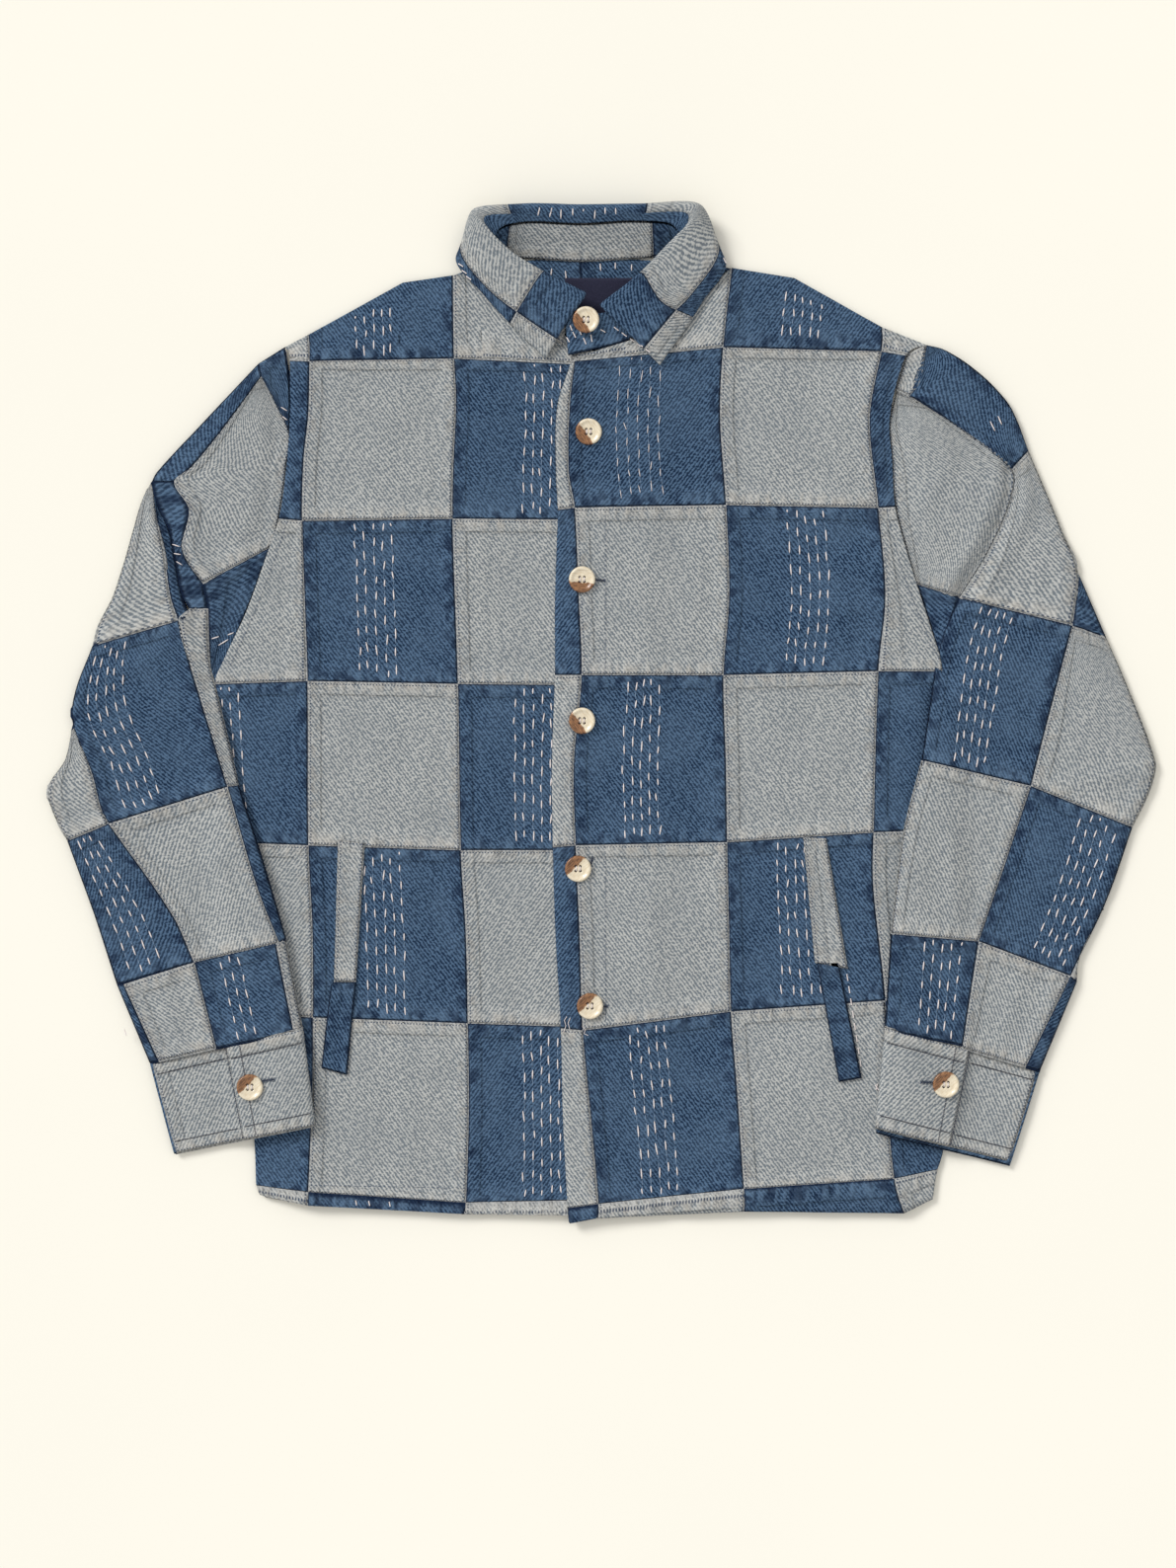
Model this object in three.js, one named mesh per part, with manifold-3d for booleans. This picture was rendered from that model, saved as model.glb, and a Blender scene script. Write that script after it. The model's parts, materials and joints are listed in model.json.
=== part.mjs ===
// A patched denim jacket laid flat on its back, buttoned. Millimetres, +Z up, the collar towards +Y.
// The wearer's right is at -X. Every piece of cloth is a wall shaped by a grid of points.
import * as THREE from 'three';
import Module from 'manifold-3d';
import { mergeVertices } from 'three/addons/utils/BufferGeometryUtils.js';

// Driving dimensions
const wall = 1.4; // one layer of denim
const doubled = 2.4; // two layers with their seam, as in collar, stand and cuffs
const seamGap = 0.3;
const frontLow = wall + seamGap; // underside of a front where it meets the back
const frontLoft = 2.5; // how much higher the fronts lie away from their edges
const edgeRamp = 25; // the width over which a front rises
const lapRise = wall + seamGap; // the left front lies over the right one
const lapWidth = 30;
const sleeveHeight = 6.2;
const foldHeight = 5; // the largest folds of the sleeves
const sleeveRest = 1; // a sleeve's clearance over the body
const cuffGap = 0.6;
const collarGap = 0.9; // between the stand's top and the fall
const weltThickness = 1.6;
const patchThickness = 0.8;
const buttonRadius = 10;
const buttonThickness = 3.2;
const buttonHole = 1.1; // radius
const buttonHoleSpacing = 1.9; // from the centre, along X and along Y

// Outlines of the laid garment, seen from above
const armholeRight = [[-294, 23], [-286, 42], [-270, 78], [-255, 119], [-245, 148], [-239, 190],
  [-237, 228], [-237, 266], [-240, 279]];
const armholeLeft = [[258, 33], [249, 69], [239, 99], [231, 126], [222, 157], [220, 195],
  [218, 219], [222, 247], [246, 280]];
const sideRight = [[-258, -360], [-264, -324], [-272, -245], [-282, -132], [-291, -27]];
const sideLeft = [[253, -345], [259, -329], [261, -245], [261, -132], [260, -27]];
const hemRight = [[-258, -360], [-244, -370], [-222, -372], [-187, -375], [-150, -376],
  [-107, -377], [-67, -377], [-27, -377], [3, -377]];
const hemLeft = [[-24, -386], [-5, -382], [28, -381], [61, -380], [108, -377], [145, -378],
  [179, -380], [237, -378], [253, -345]];
const topRight = [[-240, 279], [-197, 306], [-151, 326], [-111, 334], [-96, 336], [-81, 313],
  [-59, 295], [-31, 279], [-3, 271]];
const topLeft = [[-24, 268], [20, 281], [43, 294], [61, 313], [74, 336], [93, 339],
  [126, 337], [195, 305], [246, 280]];
const edgeOfLap = [[-24, -386], [-27, -368], [-30, -303], [-31, -238], [-35, -166], [-37, -101],
  [-38, -39], [-36, 30], [-34, 133], [-35, 183], [-34, 234], [-24, 268]];
const backNeck = [[74, 336], [58, 343], [27, 342], [-16, 340], [-60, 342], [-84, 341], [-96, 336]];

// The collar's lines, each from the wearer's right point round the back to the left one
const neckSeam = [[-30, 280, 4.9], [-58, 296, 4.9], [-79, 314, 4.6], [-92, 337, 3.2], [-85, 345, 1.5],
  [-60, 346, 1.4], [-16, 344, 1.4], [27, 346, 1.4], [59, 347, 1.5], [70, 337, 3.2],
  [59, 315, 4.6], [41, 296, 5.2], [20, 284, 6.5]];
const standTop = [[-22, 316, 9.5], [-46, 321, 11], [-67, 333, 13], [-81, 349, 14], [-78, 366, 15],
  [-60, 372, 15], [-16, 371, 15], [27, 373, 15], [54, 369, 15], [60, 354, 14],
  [44, 331, 13], [27, 316, 12], [6, 306, 11.5]];
const rollLine = [[-12, 318, 14], [-45, 333, 17], [-68, 345, 19], [-85, 366, 22], [-84, 380, 21],
  [-60, 382, 20.5], [-16, 382, 20], [27, 382, 20.5], [63, 381, 21], [63, 366, 22],
  [38, 345, 19], [23, 327, 17], [0, 309, 15.5]];
const fallMiddle = [[-26, 297, 13.5], [-59, 313, 14.5], [-84, 329, 15], [-102, 358, 14], [-94, 380, 11],
  [-60, 384.4, 10], [-16, 384, 10], [27, 384.4, 10], [73, 383, 11], [80, 361, 14],
  [60, 324, 15], [42, 303, 14.5], [20, 288, 13.5]];
const fallEdge = [[-41, 269, 7.9], [-69, 296, 7.8], [-90, 319, 7.8], [-110, 345, 7], [-90, 366, 1.3],
  [-60, 364, 1.3], [-16, 362, 1.3], [27, 364, 1.3], [68, 366, 1.3], [94, 343, 7],
  [73, 308, 7.8], [59, 284, 7.8], [44, 264, 7.9]];
const lapSeam = [-21, 272, 9.4];
const lapTop = [-16, 311, 12.2];

// Each sleeve as stations down its length, an outer and an inner point each
const sleeveRightOuter = [[-240, 279], [-279, 246], [-315, 207], [-337, 184], [-355, 141], [-382, 68],
  [-401, 3], [-420, -51], [-412, -87], [-397, -121], [-385, -152], [-368, -205], [-354, -237], [-343, -265]];
const sleeveRightInner = [[-294, 23], [-297, 18], [-297, 12], [-297, 7], [-296, 1], [-294, -9],
  [-280, -31], [-275, -54], [-268, -76], [-256, -111], [-247, -141], [-239, -170], [-232, -204], [-226, -238]];
const sleeveLeftOuter = [[246, 280], [267, 273], [293, 253], [315, 224], [332, 181], [357, 120],
  [383, 57], [405, 4], [420, -40], [402, -86], [382, -143], [363, -189], [349, -230], [333, -269]];
const sleeveLeftInner = [[258, 33], [262, 28], [262, 23], [262, 18], [262, 12], [261, 3],
  [246, -12], [242, -35], [237, -55], [229, -84], [224, -118], [220, -155], [216, -200], [214, -237]];

const buttonPlaces = [[-12, 298, 13.9], [-10, 214, 7.9], [-15, 102, 7.9], [-15, -5, 7.9], [-18, -117, 7.9],
  [-9, -221, 7.9]];
const cuffButtonPlaces = { right: [-266, -282], left: [260, -280] };

const lightDenim = { color: 0x9aa1a3, roughness: 0.95, metalness: 0 };
const blueDenim = { color: 0x3d5670, roughness: 0.95, metalness: 0 };
const navyCloth = { color: 0x212237, roughness: 0.9, metalness: 0 };
const horn = { color: 0xcdc0a4, roughness: 0.35, metalness: 0 };

const wasm = await Module();
wasm.setup();

const group = new THREE.Group();
const ease = (t) => {
  const s = Math.min(1, Math.max(0, t));
  return s * s * (3 - 2 * s);
};
const mix = (a, b, t) => a + (b - a) * t;
const mixPoint = (a, b, t) => a.map((value, axis) => mix(value, b[axis], t));

function addPiece(name, geometry, finish) {
  const mesh = new THREE.Mesh(geometry, new THREE.MeshStandardMaterial(finish));
  mesh.name = name;
  mesh.geometry.computeVertexNormals();
  group.add(mesh);
}

// How far along X the side of the body lies at a height y
function sideAt(side, y) {
  const last = side.length - 1;
  if (y <= side[0][1]) return side[0][0];
  if (y >= side[last][1]) return side[last][0];
  const next = side.findIndex((point) => point[1] > y);
  const [low, high] = [side[next - 1], side[next]];
  return mix(low[0], high[0], (y - low[1]) / (high[1] - low[1]));
}

const bodySides = {
  right: { side: [...sideRight, armholeRight[0]], sign: 1, underarm: armholeRight[0] },
  left: { side: [...sideLeft, armholeLeft[0]], sign: -1, underarm: armholeLeft[0] },
};

// Distance in from a side seam, or from the underarm above it; negative outside the body
function fromSide(which, x, y) {
  const { side, sign, underarm } = bodySides[which];
  const across = (x - sideAt(side, y)) * sign;
  return y > underarm[1] ? Math.hypot(x - underarm[0], y - underarm[1]) : across;
}

function fromShoulder(which, x, y) {
  const [low, high] = which === 'right' ? [topRight[0], topRight[3]] : [topLeft[8], topLeft[5]];
  const [dx, dy] = [high[0] - low[0], high[1] - low[1]];
  const inward = which === 'right' ? 1 : -1;
  return ((dy * (x - low[0]) - dx * (y - low[1])) / Math.hypot(dx, dy)) * inward;
}

function frontUnderside(which, x, y) {
  const inside = Math.min(fromSide(which, x, y), fromShoulder(which, x, y));
  const lap = which === 'left' ? lapRise * (1 - ease((x - lapWidth) / lapWidth)) : 0;
  return frontLow + frontLoft * ease(inside / edgeRamp) + lap;
}

// What a sleeve or cuff lies on: the floor, then the body's edge, then the front
function restUnder(which, x, y) {
  const { underarm } = bodySides[which];
  const fade = ease((underarm[1] + 20 - y) / 50);
  const inside = fromSide(which, x, Math.min(y, underarm[1]));
  const overEdge = frontLow + wall + sleeveRest;
  if (inside < 0) return overEdge * ease((inside + edgeRamp) / edgeRamp) * fade;
  return (overEdge + frontLoft * ease(inside / edgeRamp)) * fade;
}

// A closed solid between two grids of points that share their layout
function wallBetween(upper, lower, closed = false) {
  const rows = upper.length;
  const columns = upper[0].length;
  const positions = [...upper.flat(), ...lower.flat()].flat();
  const at = (layer, i, j) => layer * rows * columns + i * columns + (j % columns);
  const index = [];
  const quad = (a, b, c, d) => index.push(a, b, c, a, c, d);
  const lastColumn = closed ? columns : columns - 1;
  for (let i = 0; i < rows - 1; i += 1) {
    for (let j = 0; j < lastColumn; j += 1) {
      quad(at(0, i, j), at(0, i + 1, j), at(0, i + 1, j + 1), at(0, i, j + 1));
      quad(at(1, i, j), at(1, i, j + 1), at(1, i + 1, j + 1), at(1, i + 1, j));
    }
    if (!closed) {
      quad(at(0, i, 0), at(1, i, 0), at(1, i + 1, 0), at(0, i + 1, 0));
      quad(at(0, i + 1, lastColumn), at(1, i + 1, lastColumn), at(1, i, lastColumn), at(0, i, lastColumn));
    }
  }
  for (let j = 0; j < lastColumn; j += 1) {
    quad(at(0, 0, j), at(0, 0, j + 1), at(1, 0, j + 1), at(1, 0, j));
    quad(at(0, rows - 1, j + 1), at(0, rows - 1, j), at(1, rows - 1, j), at(1, rows - 1, j + 1));
  }
  const geometry = new THREE.BufferGeometry();
  geometry.setAttribute('position', new THREE.Float32BufferAttribute(positions, 3));
  geometry.setIndex(index);
  return signedVolume(geometry) < 0 ? turnedOut(geometry) : geometry;
}

function signedVolume(geometry) {
  const index = geometry.index.array;
  const position = geometry.attributes.position;
  const corner = (k) => new THREE.Vector3().fromBufferAttribute(position, index[k]);
  let volume = 0;
  for (let k = 0; k < index.length; k += 3) {
    volume += corner(k).dot(corner(k + 1).cross(corner(k + 2)));
  }
  return volume / 6;
}

function turnedOut(geometry) {
  const index = Array.from(geometry.index.array);
  for (let k = 0; k < index.length; k += 3) {
    [index[k], index[k + 1]] = [index[k + 1], index[k]];
  }
  geometry.setIndex(index);
  return geometry;
}

// A grid inside four borders; left and right run the same way, and so do bottom and top
function gridInside(bottom, top, left, right) {
  const [columns, rows] = [bottom.length - 1, left.length - 1];
  return left.map((leftPoint, i) => bottom.map((bottomPoint, j) => {
    const [u, v] = [j / columns, i / rows];
    return [0, 1].map((axis) => mix(bottomPoint[axis], top[j][axis], v)
      + mix(leftPoint[axis], right[i][axis], u)
      - mix(mix(bottom[0][axis], bottom[columns][axis], u), mix(top[0][axis], top[columns][axis], u), v));
  }));
}

// Layers of a panel that lies flat, from its grid and the height of its underside
function layFlat(grid, underside, thickness) {
  const lower = grid.map((row) => row.map(([x, y]) => [x, y, underside(x, y)]));
  const upper = lower.map((row) => row.map(([x, y, z]) => [x, y, z + thickness(x, y)]));
  return wallBetween(upper, lower);
}

function resampled(points, count) {
  const curve = new THREE.CatmullRomCurve3(
    points.map(([x, y]) => new THREE.Vector3(x, y, 0)), false, 'centripetal');
  return curve.getSpacedPoints(count - 1).map((p) => [p.x, p.y]);
}

const hemTop = -362;
const lapHem = -40; // the underlap's hem is thin from here on
const hemThickness = 2 * wall - 0.2;
const rightThickness = (x, y) => (y < hemTop && x < lapHem ? hemThickness : wall);
const leftThickness = (x, y) => (y < hemTop ? hemThickness : wall);

function makeBack() {
  const inset = 2; // the fronts' hems cover the back's
  const outline = [
    ...hemRight.slice(0, -2).map(([x, y]) => [x, y + inset]),
    ...hemLeft.slice(2, -1).map(([x, y]) => [x, y + inset + 3]),
    [253, -343],
    ...sideLeft.slice(1),
    ...armholeLeft,
    ...topLeft.slice(5, 8).reverse(),
    ...backNeck,
    ...topRight.slice(1, 4).reverse(),
    ...[...armholeRight].reverse(),
    ...sideRight.slice(1).reverse(),
  ];
  const shape = new THREE.Shape(outline.map(([x, y]) => new THREE.Vector2(x, y)));
  const geometry = new THREE.ExtrudeGeometry(shape, { depth: wall, bevelEnabled: false });
  addPiece('back', geometry, blueDenim);
}

function makeFronts() {
  const rightSide = [...sideRight, ...armholeRight];
  const underlap = resampled(edgeOfLap, rightSide.length).map(([x, y], i) => [x + lapWidth, y + (i ? 0 : 9)]);
  underlap[0] = hemRight[8];
  underlap[rightSide.length - 1] = topRight[8];
  const rightGrid = gridInside(hemRight, topRight, rightSide, underlap);
  addPiece('right_front', layFlat(rightGrid, (x, y) => frontUnderside('right', x, y), rightThickness), blueDenim);

  const leftSide = [...sideLeft, ...armholeLeft];
  const edge = resampled(edgeOfLap, leftSide.length);
  edge[0] = hemLeft[0];
  edge[leftSide.length - 1] = topLeft[0];
  const leftGrid = gridInside(hemLeft, topLeft, edge, leftSide);
  addPiece('left_front', layFlat(leftGrid, (x, y) => frontUnderside('left', x, y), leftThickness), lightDenim);
}

// The sleeve's rings: flat where they rest, round at both edges
function makeSleeve(which, outer, inner, armhole, folds) {
  const lengths = armhole.map((point, i) => (i
    ? Math.hypot(point[0] - armhole[i - 1][0], point[1] - armhole[i - 1][1]) : 0));
  let run = 0;
  const total = lengths.reduce((sum, step) => sum + step, 0);
  const fractions = lengths.map((step) => (run += step) / total);
  const across = [0, 0.012, 0.035, ...fractions.slice(1, -1), 0.965, 0.988, 1];
  const armholeAt = (f) => {
    const next = Math.max(1, fractions.findIndex((value) => value >= f - 1e-9));
    const local = (f - fractions[next - 1]) / (fractions[next] - fractions[next - 1]);
    return mixPoint(armhole[next - 1], armhole[next], local);
  };
  const away = which === 'right' ? -0.5 : 0.5;
  const ring = (k, shrink) => {
    const fade = 1 - ease(k / 4);
    const place = (f) => {
      const straight = mixPoint(inner[k], outer[k], f);
      const first = mixPoint(inner[0], outer[0], f);
      const curved = armholeAt(f);
      return [straight[0] + (curved[0] - first[0]) * fade + away * (k ? 0 : 1),
        straight[1] + (curved[1] - first[1]) * fade];
    };
    const width = Math.hypot(outer[k][0] - inner[k][0], outer[k][1] - inner[k][1]);
    const point = (f, upper) => {
      const w = Math.abs(2 * f - 1);
      const half = sleeveHeight / 2;
      const round = half * (1 - w ** 24) ** 0.5;
      const squeezed = mix(0.5, f, 1 - (2 * shrink) / width);
      const [x, y] = place(squeezed);
      const rest = restUnder(which, x, y);
      const fold = upper ? folds(k, f) * (1 - w ** 6) : 0;
      const inside = round * ((half - shrink) / half);
      return [x, y, rest + half + (upper ? inside : -inside) + fold];
    };
    const over = across.map((f) => point(f, true));
    const under = across.slice(1, -1).reverse().map((f) => point(f, false));
    return [...over, ...under];
  };
  const stations = outer.map((_, k) => k);
  const geometry = wallBetween(
    stations.map((k) => ring(k, 0)), stations.map((k) => ring(k, wall)), true);
  addPiece(`${which}_sleeve`, geometry, lightDenim);
}

// A band that starts under its own lap, goes round and ends on top
function makeCuff(which, corners, lapAt) {
  const half = doubled / 2;
  const levels = [half, half * 3 + cuffGap, half * 5 + cuffGap * 2];
  const path = [
    [lapAt - 0.22, levels[1]], [lapAt, levels[1]], [0.75, levels[1]], [0.93, levels[1]], [0.992, levels[1] - 0.7],
    [1, mix(levels[0], levels[1], 0.5)], [0.992, levels[0] + 0.7], [0.93, levels[0]],
    [0.7, levels[0]], [0.4, levels[0]], [0.2, levels[0]], [0.07, levels[0]], [0.008, levels[0] + 1.4],
    [0, mix(levels[0], levels[2], 0.5)], [0.008, levels[2] - 1.2], [0.06, levels[2]], [0.2, levels[2]],
    [lapAt - 0.24, levels[2]], [lapAt, levels[2]],
  ];
  const [outerTop, innerTop, innerBottom, outerBottom] = corners;
  const steps = [0, 0.25, 0.5, 0.75, 1];
  const layer = (side) => path.map((here, i) => {
    const before = path[Math.max(0, i - 1)];
    const after = path[Math.min(path.length - 1, i + 1)];
    return steps.map((v) => {
      const outerPoint = mixPoint(outerTop, outerBottom, v);
      const innerPoint = mixPoint(innerTop, innerBottom, v);
      const width = Math.hypot(outerPoint[0] - innerPoint[0], outerPoint[1] - innerPoint[1]);
      const [ds, dz] = [(after[0] - before[0]) * width, after[1] - before[1]];
      const length = Math.hypot(ds, dz);
      const shift = (side * half * -dz) / length / width;
      const s = mix(0.01, 0.99, here[0]) + shift;
      const [x, y] = mixPoint(innerPoint, outerPoint, s);
      return [x, y, restUnder(which, x, y) + here[1] + (side * half * ds) / length];
    });
  });
  addPiece(`${which}_cuff`, wallBetween(layer(1), layer(-1)), lightDenim);
}

// A wall of the collar's double cloth about a middle surface given by its lines
function collarWall(lines, alongSteps, acrossSteps) {
  const toCurve = (points) => new THREE.CatmullRomCurve3(
    points.map((p) => new THREE.Vector3(...p)), false, 'centripetal');
  const stations = lines[0].length - 1;
  const curves = lines.map(toCurve);
  const surface = (u, v) => {
    const across = toCurve(curves.map((curve) => curve.getPoint(u).toArray()));
    return across.getPoint(v);
  };
  const middle = [];
  const normal = [];
  for (let i = 0; i <= stations * alongSteps; i += 1) {
    const u = i / (stations * alongSteps);
    const row = [];
    const turns = [];
    for (let j = 0; j <= acrossSteps; j += 1) {
      const v = j / acrossSteps;
      const e = 0.004;
      const du = surface(Math.min(1, u + e), v).sub(surface(Math.max(0, u - e), v));
      const dv = surface(u, Math.min(1, v + e)).sub(surface(u, Math.max(0, v - e)));
      row.push(surface(u, v));
      turns.push(du.cross(dv).normalize());
    }
    middle.push(row);
    normal.push(turns);
  }
  const layer = (side) => middle.map((row, i) => row.map((p, j) => {
    const moved = p.clone().addScaledVector(normal[i][j], (side * doubled) / 2);
    return [moved.x, moved.y, Math.max(moved.z, side > 0 ? 0.02 : 0)];
  }));
  return wallBetween(layer(1), layer(-1));
}

function makeCollar() {
  const lift = (points, gap) => points.map(([x, y, z]) => [x, y, z + gap]);
  const topOfStand = [...standTop, lapTop];
  const shortened = topOfStand.map((p, i) => mixPoint(p, [...neckSeam, lapSeam][i], 0.06));
  addPiece('collar_stand', collarWall([[...neckSeam, lapSeam], shortened], 1, 3), lightDenim);
  addPiece('collar', collarWall([lift(standTop, collarGap), rollLine, fallMiddle, fallEdge], 1, 9), lightDenim);
}

// A strip on the front of the jacket, made from the front's own heights
function makeWelt(which, leftEdge, rightEdge) {
  const steps = 8;
  const grid = resampled(leftEdge, steps + 1).map((p, i) => [p, resampled(rightEdge, steps + 1)[i]]);
  const underside = (x, y) => frontUnderside(which, x, y) + wall + seamGap;
  addPiece(`${which}_pocket_welt`, layFlat(grid, underside, () => weltThickness), blueDenim);
}

function makeNeckPatch() {
  const corner = 4;
  const [halfWidth, low, high] = [27, 296, 331];
  const shape = new THREE.Shape();
  shape.moveTo(-halfWidth + corner, low);
  shape.lineTo(halfWidth - corner, low);
  shape.absarc(halfWidth - corner, low + corner, corner, -Math.PI / 2, 0);
  shape.lineTo(halfWidth, high);
  shape.lineTo(-halfWidth, high);
  shape.lineTo(-halfWidth, low + corner);
  shape.absarc(-halfWidth + corner, low + corner, corner, Math.PI, Math.PI * 1.5);
  const geometry = new THREE.ExtrudeGeometry(shape, { depth: patchThickness, bevelEnabled: false, curveSegments: 5 });
  geometry.translate(-1, 0, wall + seamGap);
  addPiece('neck_patch', geometry, navyCloth);
}

function toSolid(geometry) {
  const bare = geometry.clone();
  bare.deleteAttribute('normal');
  bare.deleteAttribute('uv');
  const merged = mergeVertices(bare, 1e-4);
  return new wasm.Manifold(new wasm.Mesh({
    numProp: 3,
    vertProperties: Float32Array.from(merged.attributes.position.array),
    triVerts: Uint32Array.from(merged.index.array),
  }));
}

function fromSolid(solid) {
  const found = solid.getMesh();
  const geometry = new THREE.BufferGeometry();
  geometry.setAttribute('position', new THREE.BufferAttribute(found.vertProperties, 3));
  geometry.setIndex(new THREE.BufferAttribute(found.triVerts, 1));
  return geometry;
}

// A turned button with a raised rim, a dished middle and four holes
function buttonGeometry() {
  const [r, t] = [buttonRadius, buttonThickness];
  const profile = [[0, 0], [r * 0.8, 0], [r, t * 0.45], [r * 0.94, t * 0.95], [r * 0.82, t], [r * 0.62, t * 0.62], [0, t * 0.62]];
  const turned = new THREE.LatheGeometry(profile.map(([x, y]) => new THREE.Vector2(x, y)), 20);
  turned.rotateX(Math.PI / 2);
  let solid = toSolid(turned);
  for (const [x, y] of [[1, 1], [1, -1], [-1, 1], [-1, -1]]) {
    const hole = new THREE.CylinderGeometry(buttonHole, buttonHole, t * 3, 6);
    hole.rotateX(Math.PI / 2);
    hole.translate(x * buttonHoleSpacing, y * buttonHoleSpacing, 0);
    solid = solid.subtract(toSolid(hole));
  }
  return fromSolid(solid);
}

function makeButtons() {
  const button = buttonGeometry();
  buttonPlaces.forEach((place, i) => {
    addPiece(`button_${i + 1}`, button.clone().translate(...place), horn);
  });
  for (const [which, [x, y]] of Object.entries(cuffButtonPlaces)) {
    const top = doubled * 3 + cuffGap * 2 + seamGap;
    const rest = Math.max(...[-buttonRadius, 0, buttonRadius].map((dx) => restUnder(which, x + dx, y)));
    addPiece(`${which}_cuff_button`, button.clone().translate(x, y, rest + top), horn);
  }
}

makeBack();
makeFronts();
makeSleeve('right', sleeveRightOuter, sleeveRightInner, armholeRight, (k, f) => {
  const valley = k > 1 && k < 7 ? Math.exp(-(((f - 0.62 + (k - 4) * 0.05) / 0.1) ** 2)) : 0;
  return foldHeight * ease(k / 3) * ease((13 - k) / 4) * (0.5 - valley * 0.8);
});
makeSleeve('left', sleeveLeftOuter, sleeveLeftInner, armholeLeft, (k, f) => {
  const valley = k > 2 && k < 7 ? Math.exp(-(((f - 0.45) / 0.12) ** 2)) : 0;
  return foldHeight * ease(k / 3) * ease((13 - k) / 4) * (0.5 - valley * 0.7);
});
makeCuff('right', [[-343, -266.5], [-226, -239.5], [-217, -311], [-324, -333]], 0.5);
makeCuff('left', [[333, -270.5], [214, -238.5], [207, -313], [310, -339]], 0.54);
makeCollar();
makeWelt('right', [[-200, -95], [-205, -205], [-213, -268]], [[-180, -97], [-186, -205], [-193, -273]]);
makeWelt('left', [[153, -93], [162, -189], [180, -279]], [[170, -94], [180, -189], [197, -276]]);
makeNeckPatch();
makeButtons();

export default group;
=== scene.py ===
import bpy
import bmesh
import json
import math
import random
from mathutils.bvhtree import BVHTree
from mathutils import Matrix, Vector, noise

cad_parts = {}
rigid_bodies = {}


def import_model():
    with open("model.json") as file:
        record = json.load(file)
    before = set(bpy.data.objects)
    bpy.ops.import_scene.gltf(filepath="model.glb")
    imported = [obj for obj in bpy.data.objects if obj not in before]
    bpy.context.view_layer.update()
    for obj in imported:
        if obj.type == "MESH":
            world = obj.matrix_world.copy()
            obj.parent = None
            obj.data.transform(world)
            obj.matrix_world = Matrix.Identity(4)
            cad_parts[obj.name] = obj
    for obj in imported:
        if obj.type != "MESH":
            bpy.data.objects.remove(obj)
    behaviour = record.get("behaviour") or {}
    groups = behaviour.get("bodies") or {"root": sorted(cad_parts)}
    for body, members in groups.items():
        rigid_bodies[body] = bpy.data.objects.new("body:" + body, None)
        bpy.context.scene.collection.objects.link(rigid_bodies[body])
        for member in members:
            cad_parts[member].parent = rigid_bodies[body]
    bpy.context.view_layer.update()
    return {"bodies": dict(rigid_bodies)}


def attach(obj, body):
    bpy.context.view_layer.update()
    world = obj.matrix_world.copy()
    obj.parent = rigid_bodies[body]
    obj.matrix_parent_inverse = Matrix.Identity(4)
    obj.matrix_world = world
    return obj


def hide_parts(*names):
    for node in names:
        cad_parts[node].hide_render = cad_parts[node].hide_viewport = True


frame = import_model()
root = next(iter(frame["bodies"]))
mm = 0.001
dice = random.Random(41)


def ease(t):
    t = min(1.0, max(0.0, t))
    return t * t * (3 - 2 * t)


def mix(a, b, t):
    return a + (b - a) * t


def mixPoint(a, b, t):
    return [mix(p, q, t) for p, q in zip(a, b)]


def throughPoints(points):
    # a smooth curve v -> (x, y, ...) through points that each start with their own v
    points = sorted(points)

    def at(v):
        k = 0
        while k < len(points) - 2 and v > points[k + 1][0]:
            k += 1
        p1, p2 = points[k], points[k + 1]
        p0 = points[k - 1] if k else p1
        p3 = points[k + 2] if k + 2 < len(points) else p2
        span = p2[0] - p1[0]
        t = min(1.0, max(0.0, (v - p1[0]) / span))
        out = []
        for i in range(1, len(p1)):
            leave = (p2[i] - p0[i]) / (p2[0] - p0[0]) * span
            arrive = (p3[i] - p1[i]) / (p3[0] - p1[0]) * span
            out.append((2 * t ** 3 - 3 * t ** 2 + 1) * p1[i] + (t ** 3 - 2 * t ** 2 + t) * leave
                       + (3 * t ** 2 - 2 * t ** 3) * p2[i] + (t ** 3 - t ** 2) * arrive)
        return out
    return at


def railThrough(points):
    # the same for plain points, with v from 0 to 1 along their length
    run = [0.0]
    for a, b in zip(points, points[1:]):
        run.append(run[-1] + math.dist(a, b))
    return throughPoints([(r / run[-1], *p) for r, p in zip(run, points)])


def distanceTo(line, x, y):
    best = 1e9
    for (ax, ay), (bx, by) in zip(line, line[1:]):
        dx, dy = bx - ax, by - ay
        t = min(1.0, max(0.0, ((x - ax) * dx + (y - ay) * dy) / (dx * dx + dy * dy + 1e-9)))
        best = min(best, math.hypot(x - ax - t * dx, y - ay - t * dy))
    return best


def creaseSum(creases, x, y):
    # creases are (line, height, width): a ridge where the height is positive, a valley where it isn't
    total = 0.0
    for line, height, width in creases:
        gap = distanceTo(line, x, y) / width
        if gap < 3:
            total += height * math.exp(-gap * gap)
    return total


def rippled(ripples, x, y):
    # ripples are (height, how dense along x, how dense along y, seed)
    return sum(height * noise.noise(Vector((x * alongX, y * alongY, seed)))
               for height, alongX, alongY, seed in ripples)


def newObject(name, bm, materials, smooth=True):
    mesh = bpy.data.meshes.new(name)
    bm.to_mesh(mesh)
    bm.free()
    for material in materials:
        mesh.materials.append(material)
    for polygon in mesh.polygons:
        polygon.use_smooth = smooth
    piece = bpy.data.objects.new(name, mesh)
    bpy.context.collection.objects.link(piece)
    return piece


def thicken(piece, thickness, offset=-1.0):
    wall = piece.modifiers.new("wall", "SOLIDIFY")
    wall.thickness = thickness * mm
    wall.offset = offset
    wall.use_even_offset = False


def settle(piece, node=None):
    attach(piece, root)
    if node:
        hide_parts(node)


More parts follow.
